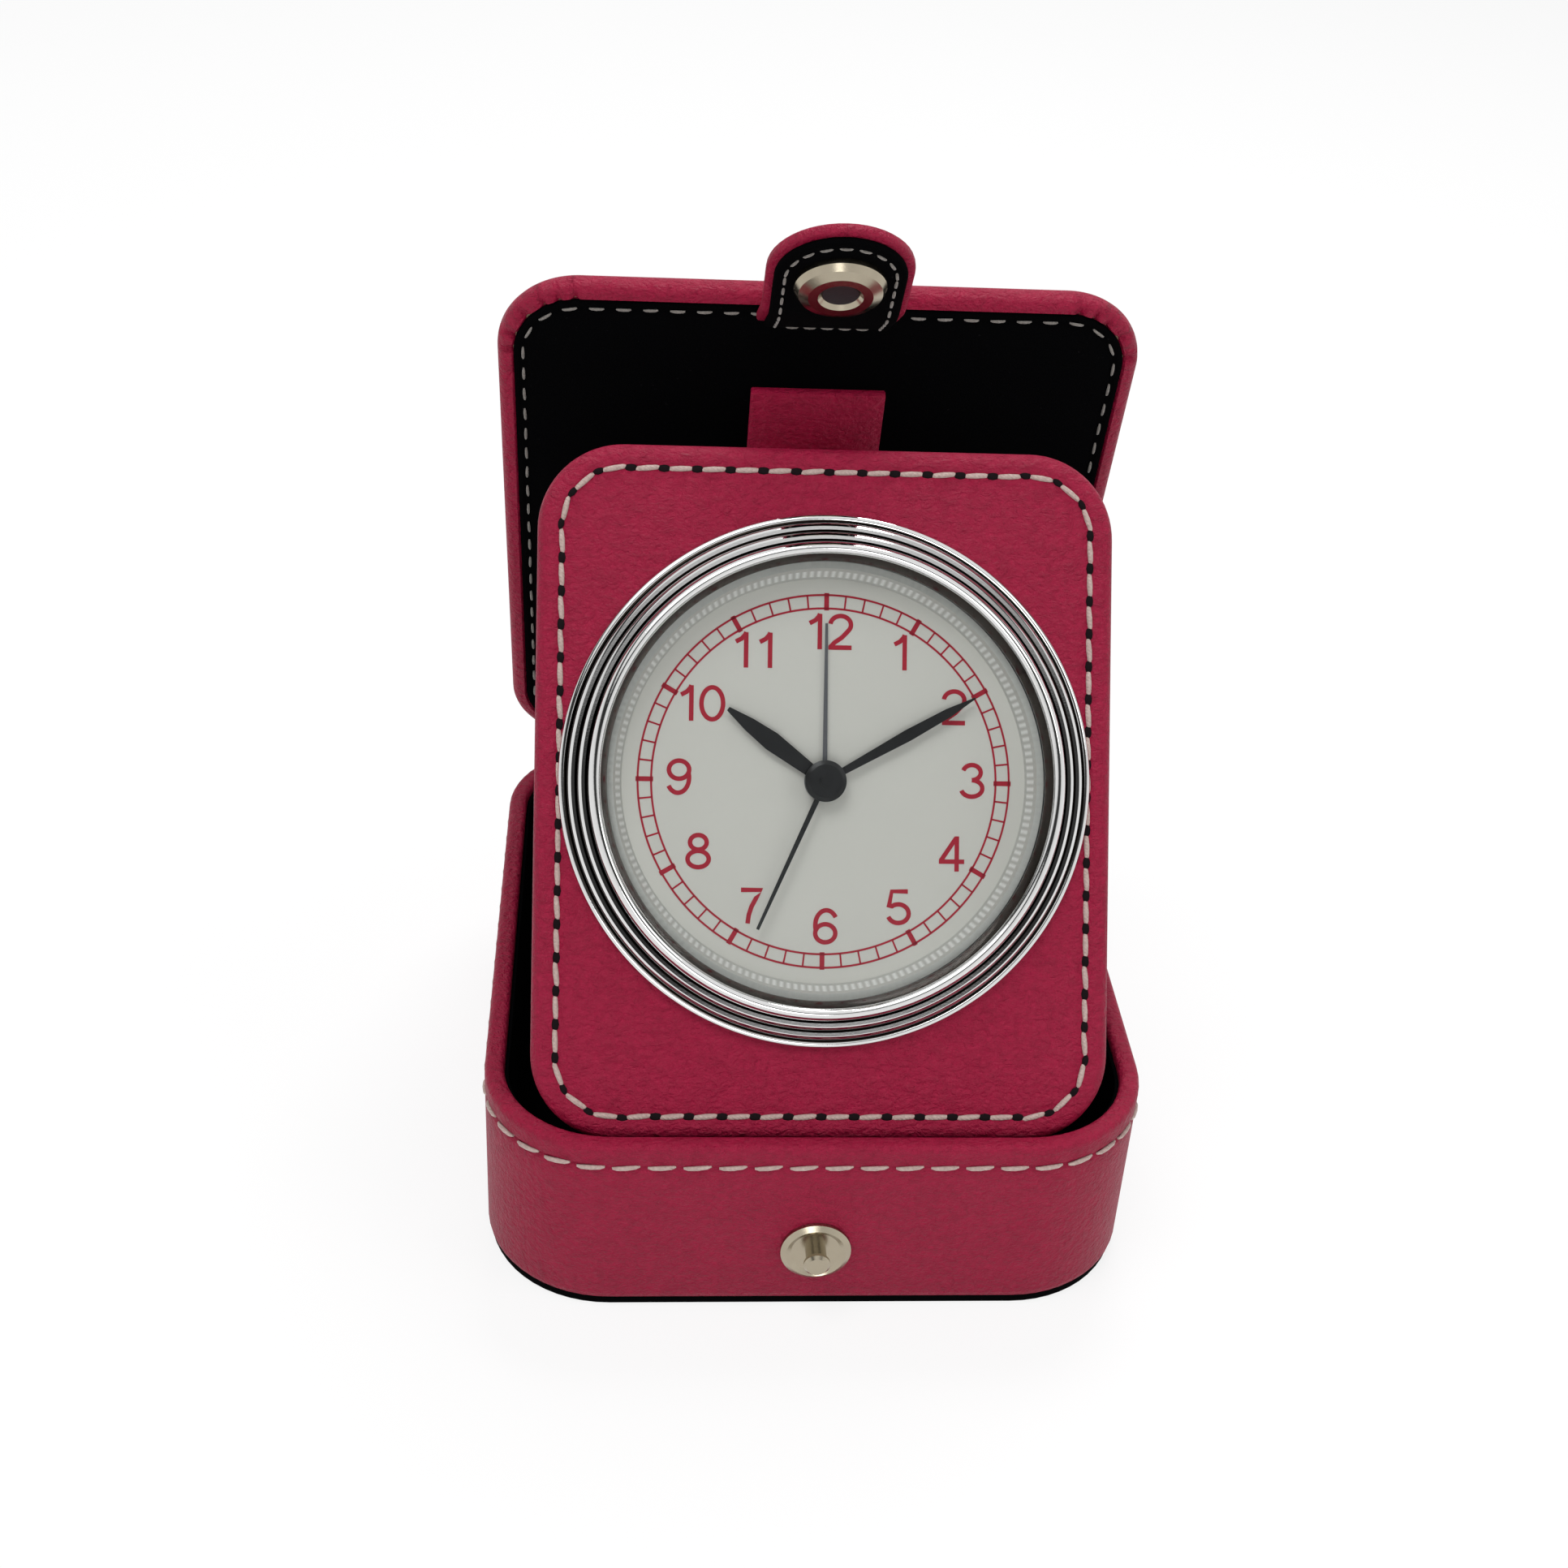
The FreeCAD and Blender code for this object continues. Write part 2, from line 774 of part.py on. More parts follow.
def tab_prism(inset, height):
    """The tab's plan, drawn on a plane that faces the middle of its bend."""
    mean = size.tab_root_bend - size.tab_tip_bend / 2
    half = size.tab_width.value / 2 - inset
    run = (size.tab_length * cosine(size.tab_tip_bend / 2)).value - half - inset
    left = Vector(-half, 0, 0)
    right = Vector(half, 0, 0)
    up = Vector(0, run, 0)
    wire = Part.Wire(
        [
            Part.LineSegment(left, right).toShape(),
            Part.LineSegment(right, right + up).toShape(),
            Part.Arc(right + up, Vector(0, run + half, 0), left + up).toShape(),
            Part.LineSegment(left + up, left).toShape(),
        ]
    )
    face = Part.Face(wire)
    face.translate(Vector(0, 0, -height))
    prism = face.extrude(Vector(0, 0, 2 * height))
    prism.rotate(Vector(0, 0, 0), Vector(1, 0, 0), mean.value)
    return prism


def make_tab():
    half = size.tab_leather / 2
    along = size.tab_root_length * cosine(size.tab_root_bend)
    out = size.tab_root_length * sine(size.tab_root_bend)
    tip = size.tab_root_bend - size.tab_tip_bend
    corners = [
        (0, 0),
        (along, out),
        (along + tab_tip_length * cosine(tip), out + tab_tip_length * sine(tip)),
    ]
    hole = Part.makeCylinder(
        size.cap_shank_radius.value + size.glue_gap.value,
        2 * size.tab_length.value,
        Vector(0, 0, -size.tab_length.value),
    )
    hole.translate(Vector(0, snap_place.value, 0))
    hole.rotate(Vector(0, 0, 0), Vector(1, 0, 0), tip.value)
    hole.translate(Vector(0, along.value, out.value))
    layers = [
        ("tab_leather", -half, half, 0),
        ("tab_lining", half + gap, half + gap + size.tab_lining, size.tab_inset.value),
    ]
    for name, low, high, inset in layers:
        layer = band_solid(corners, [size.tab_bend_radius], low, high, size.tab_width)
        layer = layer.common(tab_prism(inset, size.tab_length.value)).cut(hole)
        new_piece(name, layer, tab_root)


# Press snap: stud and rivet on the tray's front, socket and cap on the tab
def make_snap():
    plate = size.stud_plate_height
    ring = (size.stud_ring_radius + size.stud_plate_radius) / 2
    neck = plate + (size.stud_length - plate) / 2
    body = new_body("snap_stud", front_frame, 0, 0, size.strip_gap)
    revolve(
        body,
        [
            (0, -(wall + size.strip_gap)),
            (size.stud_shank_radius, -(wall + size.strip_gap)),
            (size.stud_shank_radius, 0),
            (size.stud_plate_radius, 0),
            (size.stud_plate_radius, plate / 2),
            (ring, plate),
            (size.stud_ring_radius, plate / 2),
            (size.stud_neck_radius, plate / 2),
            (size.stud_neck_radius, neck),
            (size.stud_head_radius, neck + (size.stud_length - neck) / 3),
            (size.stud_head_radius, size.stud_length - (size.stud_length - neck) / 3),
            (size.stud_neck_radius, size.stud_length),
            (0, size.stud_length),
        ],
    )

    body = new_body("stud_rivet", front_frame, 0, 0, -(wall + size.strip_gap))
    revolve(
        body,
        [
            (size.stud_shank_radius / 2, 0),
            (size.rivet_radius, 0),
            (size.rivet_radius, -(size.rivet_height / 2)),
            (size.stud_neck_radius, -size.rivet_height),
            (size.stud_shank_radius / 2, -size.rivet_height),
        ],
    )

    surface = size.tab_leather / 2 + gap + size.tab_lining + gap
    height = size.socket_height
    hole = size.socket_hole_radius
    body = new_body("snap_socket", tab_bend, 0, snap_place, surface)
    revolve(
        body,
        [
            (size.cap_shank_radius + gap, 0),
            (size.socket_radius, 0),
            (size.socket_radius, height / 3),
            (size.socket_radius - height / 4, height * 3 / 4),
            ((size.socket_radius + hole) / 2, height),
            (hole + size.socket_wire, height),
            (hole, height * 3 / 4),
            (hole, height / 4),
            (size.cap_shank_radius + gap, height / 4),
        ],
    )

    body = new_body("snap_cap", tab_bend, 0, snap_place, -(size.tab_leather / 2 + gap))
    revolve(
        body,
        [
            (0, -size.cap_height),
            (size.cap_radius / 2, -(size.cap_height * 5 / 6)),
            (size.cap_radius * 5 / 6, -(size.cap_height / 2)),
            (size.cap_radius, 0),
            (size.cap_shank_radius, 0),
            (size.cap_shank_radius, size.tab_leather + size.tab_lining + 3 * gap),
            (0, size.tab_leather + size.tab_lining + 3 * gap),
        ],
    )


def drill_front(body):
    """The hole for the stud's shank through one layer of the tray's front wall."""
    volume = body.Shape.Volume
    feature = body.newObject("PartDesign::Pocket", body.Name + "_hole")
    hole = circle(size.stud_shank_radius + gap, 0, size.snap_height)
    feature.Profile = profile(body, [hole], role="XZ_Plane", level=size.tray_length / 2)
    bind(feature, "Length", wall + gap)
    document.recompute()
    if not body.Shape.Volume < volume:
        raise RuntimeError("the hole of %s cuts nothing" % body.Name)


# Insert clock: every level is measured out of the panel's front face
fit = size.fit_gap
can_inner = size.can_radius - size.can_wall
lens_level = size.lip_height + 2 * fit
dial_top = -size.dial_recess
dial_back = dial_top - size.dial_thickness
ledge_top = dial_back - fit
can_end = -size.can_depth
cover_face = can_end - size.back_cover

bezel_outline_shares = [
    (1.0, 0.18), (0.97, 0.23), (0.92, 0.26), (0.86, 0.24), (0.84, 0.19),
    (0.82, 0.32), (0.79, 0.42), (0.73, 0.47), (0.66, 0.46), (0.63, 0.4),
    (0.61, 0.52), (0.58, 0.63), (0.52, 0.68), (0.45, 0.67), (0.42, 0.6),
    (0.4, 0.74), (0.36, 0.88), (0.3, 0.98), (0.23, 1.0), (0.17, 0.97),
    (0.13, 0.88),
]


def make_case():
    lens_top = lens_level + size.lens_thickness
    rise = size.bezel_radius - size.bezel_opening
    steps = [
        (size.bezel_opening + share * rise, height * size.bezel_height)
        for share, height in bezel_outline_shares
    ]
    seat_radius = size.lens_radius + fit
    body = new_body("bezel", dial_frame)
    revolve(
        body,
        [(size.bezel_radius, 0)]
        + steps
        + [
            (size.bezel_opening, lens_top + 2 * fit + size.bezel_height / 10),
            (size.bezel_opening, lens_top + fit),
            (seat_radius, lens_top + fit),
            (seat_radius, lens_level - fit + fit / 2),
            (size.bezel_seat_radius, lens_level - fit + fit / 2),
            (size.bezel_seat_radius, 0),
        ],
    )

    body = new_body("lens", dial_frame)
    revolve(
        body,
        [(0, lens_level), (size.lens_radius, lens_level), (size.lens_radius, lens_top), (0, lens_top)],
    )

    ring_top = size.lip_height
    body = new_body("rehaut_ring", dial_frame)
    revolve(
        body,
        [
            (size.rehaut_inner, dial_top + fit),
            (can_inner - fit, dial_top + fit),
            (can_inner - fit, ring_top),
            (size.rehaut_top, ring_top),
        ],
    )

    body = new_body("dial", dial_frame)
    revolve(
        body,
        [
            (dial_bore, dial_back),
            (can_inner - fit, dial_back),
            (can_inner - fit, dial_top),
            (dial_bore, dial_top),
        ],
    )

    ledge_inner = can_inner - size.ledge_width
    body = new_body("clock_can", dial_frame)
    revolve(
        body,
        [
            (size.can_radius, can_end),
            (size.can_radius, fit),
            (size.lip_radius, fit),
            (size.lip_radius, fit + size.lip_height),
            (can_inner, fit + size.lip_height),
            (can_inner, ledge_top),
            (ledge_inner, ledge_top),
            (ledge_inner, ledge_top - size.ledge_height),
            (can_inner, ledge_top - size.ledge_height),
            (can_inner, can_end),
        ],
    )
    boss_top = ledge_top - size.ledge_height / 2
    boss = [circle(size.back_boss_radius, 0, size.back_boss_place)]
    post = pad(body, boss, can_end, boss_top - can_end)
    repeat_round(body, [post], screw_count)
    bore = [circle(size.screw_shank_radius + fit, 0, size.back_boss_place)]
    drilled = pocket(body, bore, can_end + size.screw_length, size.screw_length)
    repeat_round(body, [drilled], screw_count)

    body = new_body("grip_ring", dial_frame)
    grip_inner = size.can_radius + fit
    grip_outer = size.panel_hole - fit
    revolve(
        body,
        [
            (grip_inner, -fit),
            (grip_inner, -size.grip_ring_height),
            ((grip_inner + grip_outer) / 2, -size.grip_ring_height),
            (grip_outer, -(size.grip_ring_height * 3 / 4)),
            ((grip_inner + grip_outer) / 2, -(size.grip_ring_height / 2)),
            (grip_outer, -(size.grip_ring_height / 4)),
            ((grip_inner + grip_outer) / 2, -fit),
        ],
    )

    clamp_top = -(panel_thickness + fit)
    clamp_end = clamp_top - size.clamp_ring_height
    body = new_body("clamp_ring", dial_frame)
    revolve(
        body,
        [
            (grip_inner, clamp_end),
            (size.panel_hole, clamp_end),
            (size.clamp_ring_radius, clamp_top - size.clamp_ring_height / 2),
            (size.clamp_ring_radius, clamp_top),
            (grip_inner, clamp_top),
        ],
    )


# Hands: leaf and baton blades on hubs that sit on concentric tubes
tube_gap = size.running_gap
minute_bore = size.second_arbor + tube_gap
minute_tube = minute_bore + size.arbor_wall
hour_bore = minute_tube + tube_gap
hour_tube = hour_bore + size.arbor_wall
alarm_bore = hour_tube + tube_gap
alarm_tube = alarm_bore + size.arbor_wall
dial_bore = alarm_tube + 2 * tube_gap
alarm_hand_level = dial_top + size.hand_level
hour_hand_level = alarm_hand_level + size.hand_pitch
minute_hand_level = hour_hand_level + size.hand_pitch
second_hand_level = minute_hand_level + size.hand_pitch
blade_shares = {
    "leaf": [(0.0, 0.55), (0.20, 0.72), (0.55, 1.0), (0.78, 0.72), (1.0, 0.22)],
    "lance": [(0.0, 0.50), (0.25, 0.72), (0.55, 1.0), (0.82, 0.78), (1.0, 0.12)],
    "baton": [(0.0, 1.0), (1.0, 0.55)],
}


def blade(kind, length, width, tail):
    """A hand's outline, up the right side and down the left, from a short tail."""
    right = [(width / 2 * share, length * along) for along, share in blade_shares[kind]]
    foot = width / 2 * blade_shares[kind][0][1]
    left = [(-x, y) for x, y in reversed(right)]
    return [(foot, -tail)] + right + left + [(-foot, -tail)]


def make_hand(name, kind, length, width, angle, level, bore, tail):
    body = new_body(name, dial_frame)
    hub = bore + size.hand_hub_margin
    pad(body, [circle(hub)], level, size.hand_thickness)
    pad(body, [outline(blade(kind, length, width, tail))], level, size.hand_thickness, angle)
    pocket(body, [circle(bore + gap)], level + size.hand_thickness, size.hand_thickness)


def make_hands():
    tail = size.alarm_hand_width
    make_hand(
        "alarm_hand", "baton", size.alarm_hand_length, size.alarm_hand_width,
        size.alarm_hand_angle, alarm_hand_level, alarm_tube, tail,
    )
    make_hand(
        "hour_hand", "leaf", size.hour_hand_length, size.hour_hand_width,
        size.hour_hand_angle, hour_hand_level, hour_tube, tail,
    )
    make_hand(
        "minute_hand", "lance", size.minute_hand_length, size.minute_hand_width,
        size.minute_hand_angle, minute_hand_level, minute_tube, tail,
    )
    make_hand(
        "second_hand", "baton", size.second_hand_length, size.second_hand_width,
        size.second_hand_angle, second_hand_level, size.second_arbor, tail,
    )
    bottom = second_hand_level + size.hand_thickness + gap
    body = new_body("hand_cap", dial_frame)
    revolve(
        body,
        [
            (0, bottom),
            (size.cap_hub_radius, bottom),
            (size.cap_hub_radius, bottom + size.cap_hub_height / 2),
            (size.cap_hub_radius * 4 / 5, bottom + size.cap_hub_height),
            (size.cap_pin_radius, bottom + size.cap_hub_height),
            (size.cap_pin_radius, bottom + size.cap_hub_height + size.cap_pin_height),
            (0, bottom + size.cap_hub_height + size.cap_pin_height),
        ],
    )


# Movement: levels below are depths behind the dial's back
movement_top = dial_back - gap
plate_back = movement_top - size.movement_wall
housing_top = plate_back - gap
housing_back = movement_top - size.movement_depth
housing_floor = housing_back + size.movement_wall
thick = size.wheel_thickness


def movement_plan(inset):
    return rounded(
        size.movement_width - 2 * inset,
        size.movement_length - 2 * inset,
        size.movement_corner - inset,
        0,
        size.movement_shift,
    )


def polar(distance, direction, start=(0, 0)):
    return (
        start[0] + distance * cosine(direction),
        start[1] + distance * sine(direction),
    )


# Tooth counts of the train and of the setting gears
minute_pinion_teeth = 12
motion_wheel_teeth = 36
motion_pinion_teeth = 10
hour_wheel_teeth = 40
setting_gear_teeth = 38
alarm_gear_teeth = 36
third_wheel_teeth = 60
second_pinion_teeth = 8
third_pinion_teeth = 8
centre_wheel_teeth = 64
second_wheel_teeth = 40
step_pinion_teeth = 8
step_wheel_teeth = 36
rotor_pinion_teeth = 6
screw_count = 3
flute_count = 14


def module_of(distance, first_teeth, second_teeth):
    return distance * 2 / (first_teeth + second_teeth)


motion_place = (as_size(0), size.motion_distance)
motion_module = module_of(size.motion_distance, minute_pinion_teeth, motion_wheel_teeth)
hour_module = module_of(size.motion_distance, motion_pinion_teeth, hour_wheel_teeth)
setting_distance = motion_module * (motion_wheel_teeth + setting_gear_teeth) / 2
knob_drop = size.motion_distance - size.knob_y
knob_x = root(setting_distance * setting_distance - knob_drop * knob_drop)
alarm_distance = root(knob_x * knob_x + size.knob_y * size.knob_y)
alarm_module = module_of(alarm_distance, alarm_gear_teeth, alarm_gear_teeth)
third_place = polar(size.third_distance, size.third_direction)
third_module = module_of(size.third_distance, second_pinion_teeth, third_wheel_teeth)
centre_module = module_of(size.third_distance, third_pinion_teeth, centre_wheel_teeth)
step_place = polar(size.step_distance, size.step_direction)
second_module = module_of(size.step_distance, step_pinion_teeth, second_wheel_teeth)
rotor_place = polar(size.rotor_distance, size.rotor_direction, step_place)
step_module = module_of(size.rotor_distance, rotor_pinion_teeth, step_wheel_teeth)


def wheel_radius(module, teeth):
    """The pitch radius, drawn in by half the running gap so that a pair never touches."""
    return module * teeth / 2 - size.running_gap / 2


def add_disc(body, radius, bore, top, height):
    """A disc of a wheel or tube, with a bore when it runs on something."""
    draws = [circle(radius)]
    if bore is not None:
        draws.append(circle(bore))
    pad(body, draws, top - height, height)


def make_plate():
    body = new_body("movement_plate", dial_frame)
    pad(
        body,
        [movement_plan(0), circle(alarm_tube + tube_gap)],
        plate_back,
        size.movement_wall,
    )
    pivot = circle(size.knob_stem / 2 + tube_gap, *motion_place)
    pocket(body, [pivot], plate_back + size.pivot_depth, size.pivot_depth)

    body = new_body("movement_housing", dial_frame)
    pad(body, [movement_plan(0)], housing_back, housing_top - housing_back)
    pocket(body, [movement_plan(size.movement_wall)], housing_top, housing_top - housing_floor)
    stem = size.knob_stem + tube_gap
    through = [circle(stem, knob_x, size.knob_y), circle(stem, -knob_x, size.knob_y)]
    pocket(body, through, housing_floor, size.movement_wall)
    pivots = [
        circle(size.second_arbor + tube_gap),
        circle(size.second_arbor + tube_gap, *third_place),
        circle(size.second_arbor + tube_gap, *step_place),
        circle(size.second_arbor + tube_gap, *rotor_place),
    ]
    pocket(body, pivots, housing_floor, size.pivot_depth)


def make_centre_wheels():
    level = movement_top - size.alarm_wheel_level
    body = new_body("alarm_wheel", dial_frame)
    add_disc(body, wheel_radius(alarm_module, alarm_gear_teeth), alarm_bore, level, thick)
    add_disc(body, alarm_tube, alarm_bore, alarm_hand_level + size.hand_thickness,
             alarm_hand_level + size.hand_thickness - level)

    level = movement_top - size.hour_wheel_level
    body = new_body("hour_wheel", dial_frame)
    add_disc(body, wheel_radius(hour_module, hour_wheel_teeth), hour_bore, level, thick)
    add_disc(body, hour_tube, hour_bore, hour_hand_level + size.hand_thickness,
             hour_hand_level + size.hand_thickness - level)

    level = movement_top - size.motion_wheel_level
    body = new_body("cannon_pinion", dial_frame)
    pinion = wheel_radius(motion_module, minute_pinion_teeth)
    add_disc(body, pinion, minute_bore, level + thick / 2, size.pinion_height)
    add_disc(body, minute_tube, minute_bore, minute_hand_level + size.hand_thickness,
             minute_hand_level + size.hand_thickness - level - thick / 2)

    level = movement_top - size.centre_wheel_level
    body = new_body("centre_wheel", dial_frame)
    add_disc(body, wheel_radius(centre_module, centre_wheel_teeth), minute_bore, level, thick)
    add_disc(body, minute_tube, minute_bore, level - thick, thick)

    level = movement_top - size.second_wheel_level
    body = new_body("second_wheel", dial_frame)
    add_disc(body, wheel_radius(second_module, second_wheel_teeth), None, level, thick)
    pinion = wheel_radius(third_module, second_pinion_teeth)
    pinion_top = movement_top - size.third_wheel_level + thick / 2
    add_disc(body, pinion, None, pinion_top, pinion_top - level)
    arbor_end = housing_floor - size.pivot_depth + tube_gap
    arbor_top = second_hand_level + size.hand_thickness
    add_disc(body, size.second_arbor, None, arbor_top, arbor_top - arbor_end)


def make_side_wheels():
    arbor_end = housing_floor - size.pivot_depth + tube_gap

    level = movement_top - size.motion_wheel_level
    body = new_body("motion_wheel", dial_frame, *motion_place)
    add_disc(body, wheel_radius(motion_module, motion_wheel_teeth), None, level, thick)
    pinion = wheel_radius(hour_module, motion_pinion_teeth)
    pinion_top = movement_top - size.hour_wheel_level + thick / 2
    add_disc(body, pinion, None, pinion_top, pinion_top - level)
    arbor_top = plate_back + size.pivot_depth - tube_gap
    add_disc(body, size.knob_stem / 2, None, arbor_top, arbor_top - level)

    level = movement_top - size.third_wheel_level
    body = new_body("third_wheel", dial_frame, *third_place)
    add_disc(body, wheel_radius(third_module, third_wheel_teeth), None, level, thick)
    pinion = wheel_radius(centre_module, third_pinion_teeth)
    pinion_top = movement_top - size.centre_wheel_level + thick / 2
    add_disc(body, pinion, None, pinion_top, pinion_top - level)
    add_disc(body, size.second_arbor, None, level - thick, level - thick - arbor_end)

    level = movement_top - size.second_wheel_level
    body = new_body("step_wheel", dial_frame, *step_place)
    pinion = wheel_radius(second_module, step_pinion_teeth)
    wheel_top = wheel_top_level()
    add_disc(body, pinion, None, level + thick / 2, level + thick / 2 - wheel_top)
    add_disc(body, wheel_radius(step_module, step_wheel_teeth), None, wheel_top, thick)
    add_disc(body, size.second_arbor, None, wheel_top - thick, wheel_top - thick - arbor_end)

    body = new_body("rotor", dial_frame, *rotor_place)
    pinion = wheel_radius(step_module, rotor_pinion_teeth)
    add_disc(body, size.rotor_radius, None, wheel_top + thick + size.rotor_height, size.rotor_height)
    add_disc(body, pinion, None, wheel_top + thick, thick * 2)
    add_disc(body, size.second_arbor, None, wheel_top - thick, wheel_top - thick - arbor_end)


# Coil and stator of the stepping motor, circuit board and crystal
def make_electrics():
    coil_x = size.movement_width / 2 - size.movement_wall - size.coil_radius - 2 * size.coil_core
    coil_low = size.movement_shift - size.coil_length / 3
    stator_level = wheel_top_level() + thick + size.rotor_height / 2

    body = new_body("stator", dial_frame)
    reach = size.coil_radius / 2
    near = rotor_place[0] - size.rotor_radius - reach
    far = coil_x + reach
    low = rotor_place[1] - size.rotor_radius - reach
    high = rotor_place[1] + size.rotor_radius + size.coil_core
    yoke = outline(
        [
            (near, low),
            (far, low),
            (far, coil_low),
            (far - 2 * reach, coil_low),
            (far - 2 * reach, high),
            (near, high),
        ]
    )
    opening = circle(size.rotor_radius + size.pivot_depth, *rotor_place)
    pad(body, [yoke, opening], stator_level - thick, thick)

    body = new_body("coil", dial_frame, coil_x, coil_low, stator_level - thick / 2)
    core = size.coil_core
    sketch = profile(
        body,
        [
            outline(
                [
                    (0, gap),
                    (size.coil_radius, gap),
                    (size.coil_radius, core),
                    (size.coil_radius * 4 / 5, core),
                    (size.coil_radius * 4 / 5, size.coil_length - core),
                    (size.coil_radius, size.coil_length - core),
                    (size.coil_radius, size.coil_length - gap),
                    (0, size.coil_length - gap),
                ]
            )
        ],
    )
    feature = body.newObject("PartDesign::Revolution", "coil_turned")
    feature.Profile = sketch
    feature.ReferenceAxis = (sketch, ["V_Axis"])
    feature.Angle = 360
    document.recompute()

    board_y = size.motion_distance + size.movement_wall + size.circuit_length / 2
    body = new_body("circuit_board", dial_frame)
    board = rounded(size.circuit_width, size.circuit_length, size.coil_core, -size.circuit_shift, board_y)
    pad(body, [board], housing_floor + gap, size.circuit_thickness)

    board_top = housing_floor + gap + size.circuit_thickness
    body = new_body(
        "quartz_crystal", dial_frame, -size.circuit_shift, board_y,
        board_top + size.crystal_radius + gap,
    )
    crystal = profile(body, [circle(size.crystal_radius)], role="YZ_Plane")
    feature = body.newObject("PartDesign::Pad", "crystal_can")
    feature.Profile = crystal
    bind(feature, "Length", size.crystal_length)
    document.recompute()


def wheel_top_level():
    """The step wheel's upper face, which the motor's pieces share."""
    return movement_top - size.second_wheel_level - size.pinion_height


# Back: cover, knobs, slide switch, sounder, battery and its hatch
def make_back():
    hatch_hole = size.hatch_radius - size.hatch_rim
    holder_inner = size.battery_radius + size.battery_gap
    holder_outer = holder_inner + size.battery_wall
    battery_bottom = can_end + size.battery_gap
    battery_place = (0, size.battery_y)
    screw_bore = circle(size.screw_shank_radius + fit, 0, size.back_boss_place)
    screw_sink = circle(size.screw_head_radius + fit, 0, size.back_boss_place)

    body = new_body("back_cover", dial_frame)
    pad(body, [circle(size.can_radius)], cover_face, size.back_cover - fit)
    holder = [circle(holder_outer, *battery_place), circle(holder_inner, *battery_place)]
    pad(body, holder, can_end - fit, size.battery_height * 3 / 4)
    stems = [
        circle(size.knob_stem + tube_gap, knob_x, size.knob_y),
        circle(size.knob_stem + tube_gap, -knob_x, size.knob_y),
    ]
    pocket(body, stems, can_end, size.back_cover + fit)
    pocket(body, [circle(hatch_hole, *battery_place)], can_end, size.back_cover + fit)
    pocket(
        body,
        [circle(size.hatch_radius + fit, *battery_place)],
        cover_face + size.hatch_rim,
        size.hatch_rim,
    )
    slot_length = size.switch_length + size.switch_travel + 2 * fit
    slot = rounded(
        slot_length, size.switch_width + 2 * fit, size.switch_width / 4,
        size.switch_travel / 2, size.switch_y,
    )
    pocket(body, [slot], can_end, size.back_cover + fit)
    slots = [
        rounded(
            size.sound_slot_length, size.sound_slot_width, size.sound_slot_width / 3,
            0, size.sounder_y + size.sound_slot_pitch * step,
        )
        for step in (-1, 0, 1)
    ]
    pocket(body, slots, can_end, size.back_cover + fit)
    drilled = pocket(body, [screw_bore], can_end, size.back_cover + fit)
    repeat_round(body, [drilled], screw_count)
    sunk = pocket(body, [screw_sink], cover_face + size.screw_head_height, size.screw_head_height)
    repeat_round(body, [sunk], screw_count)

    body = new_body("cover_screws", dial_frame)
    head = pad(
        body, [circle(size.screw_head_radius, 0, size.back_boss_place)],
        cover_face + gap, size.screw_head_height - gap,
    )
    shank = pad(
        body, [circle(size.screw_shank_radius, 0, size.back_boss_place)],
        cover_face + gap, size.screw_length,
    )
    repeat_round(body, [head, shank], screw_count)

    body = new_body("battery_cover", dial_frame, *battery_place)
    pad(body, [circle(size.hatch_radius)], cover_face, size.hatch_rim - fit)
    plug = hatch_hole - fit
    pad(body, [circle(plug)], cover_face, size.back_cover)
    coin = [rounded(size.hatch_radius, size.switch_width / 2, size.switch_width / 5)]
    pocket(body, coin, cover_face + size.hatch_rim / 2, size.hatch_rim / 2)

    body = new_body("battery", dial_frame, *battery_place)
    radius = size.battery_radius
    height = size.battery_height
    revolve(
        body,
        [
            (0, battery_bottom),
            (radius, battery_bottom),
            (radius, battery_bottom + height * 4 / 5),
            (radius * 5 / 6, battery_bottom + height * 5 / 6),
            (radius * 5 / 6, battery_bottom + height),
            (0, battery_bottom + height),
        ],
    )

    contact_level = battery_bottom + height + fit
    movement_edge = size.movement_length / 2 - size.movement_shift
    body = new_body("battery_contact", dial_frame)
    reach = rounded(
        size.battery_radius, movement_edge / 2, size.battery_gap,
        0, -(movement_edge + fit + movement_edge / 4),
    )
    pad(body, [reach], contact_level, size.contact_thickness)
    foot = rounded(
        size.battery_radius, size.contact_thickness, size.contact_thickness / 4,
        0, -(movement_edge + fit + size.contact_thickness / 2),
    )
    pad(body, [foot], contact_level, size.battery_height / 2)

    body = new_body("sounder", dial_frame, 0, size.sounder_y)
    pad(body, [circle(size.sounder_radius)], can_end + fit, size.sounder_height)
    brass = [circle(size.sounder_radius * 2 / 3)]
    pad(body, brass, can_end + fit, size.sounder_height + size.contact_thickness)

    body = new_body("alarm_switch", dial_frame, 0, size.switch_y)
    button = [rounded(size.switch_length, size.switch_width, size.switch_width / 4)]
    pad(body, button, cover_face - size.switch_height, size.switch_height + size.back_cover + fit)
    flange = [rounded(size.switch_length * 5 / 4, size.switch_width * 3 / 2, size.switch_width / 4)]
    pad(body, flange, can_end + fit, size.switch_flange)


def make_knob(name, x, gear_radius, gear_level):
    """A fluted knob with its stem and the gear at the stem's inner end."""
    body = new_body(name, dial_frame, x, size.knob_y)
    top = cover_face - fit
    pad(body, [circle(size.knob_radius)], top - size.knob_height, size.knob_height)
    flute = pocket(
        body, [circle(size.knob_flute, 0, size.knob_radius)], top - size.knob_height * 1 / 5,
        size.knob_height,
    )
    repeat_round(body, [flute], flute_count)
    pad(body, [circle(size.knob_stem)], top - fit, gear_level - top)
    add_disc(body, gear_radius, None, gear_level, thick)


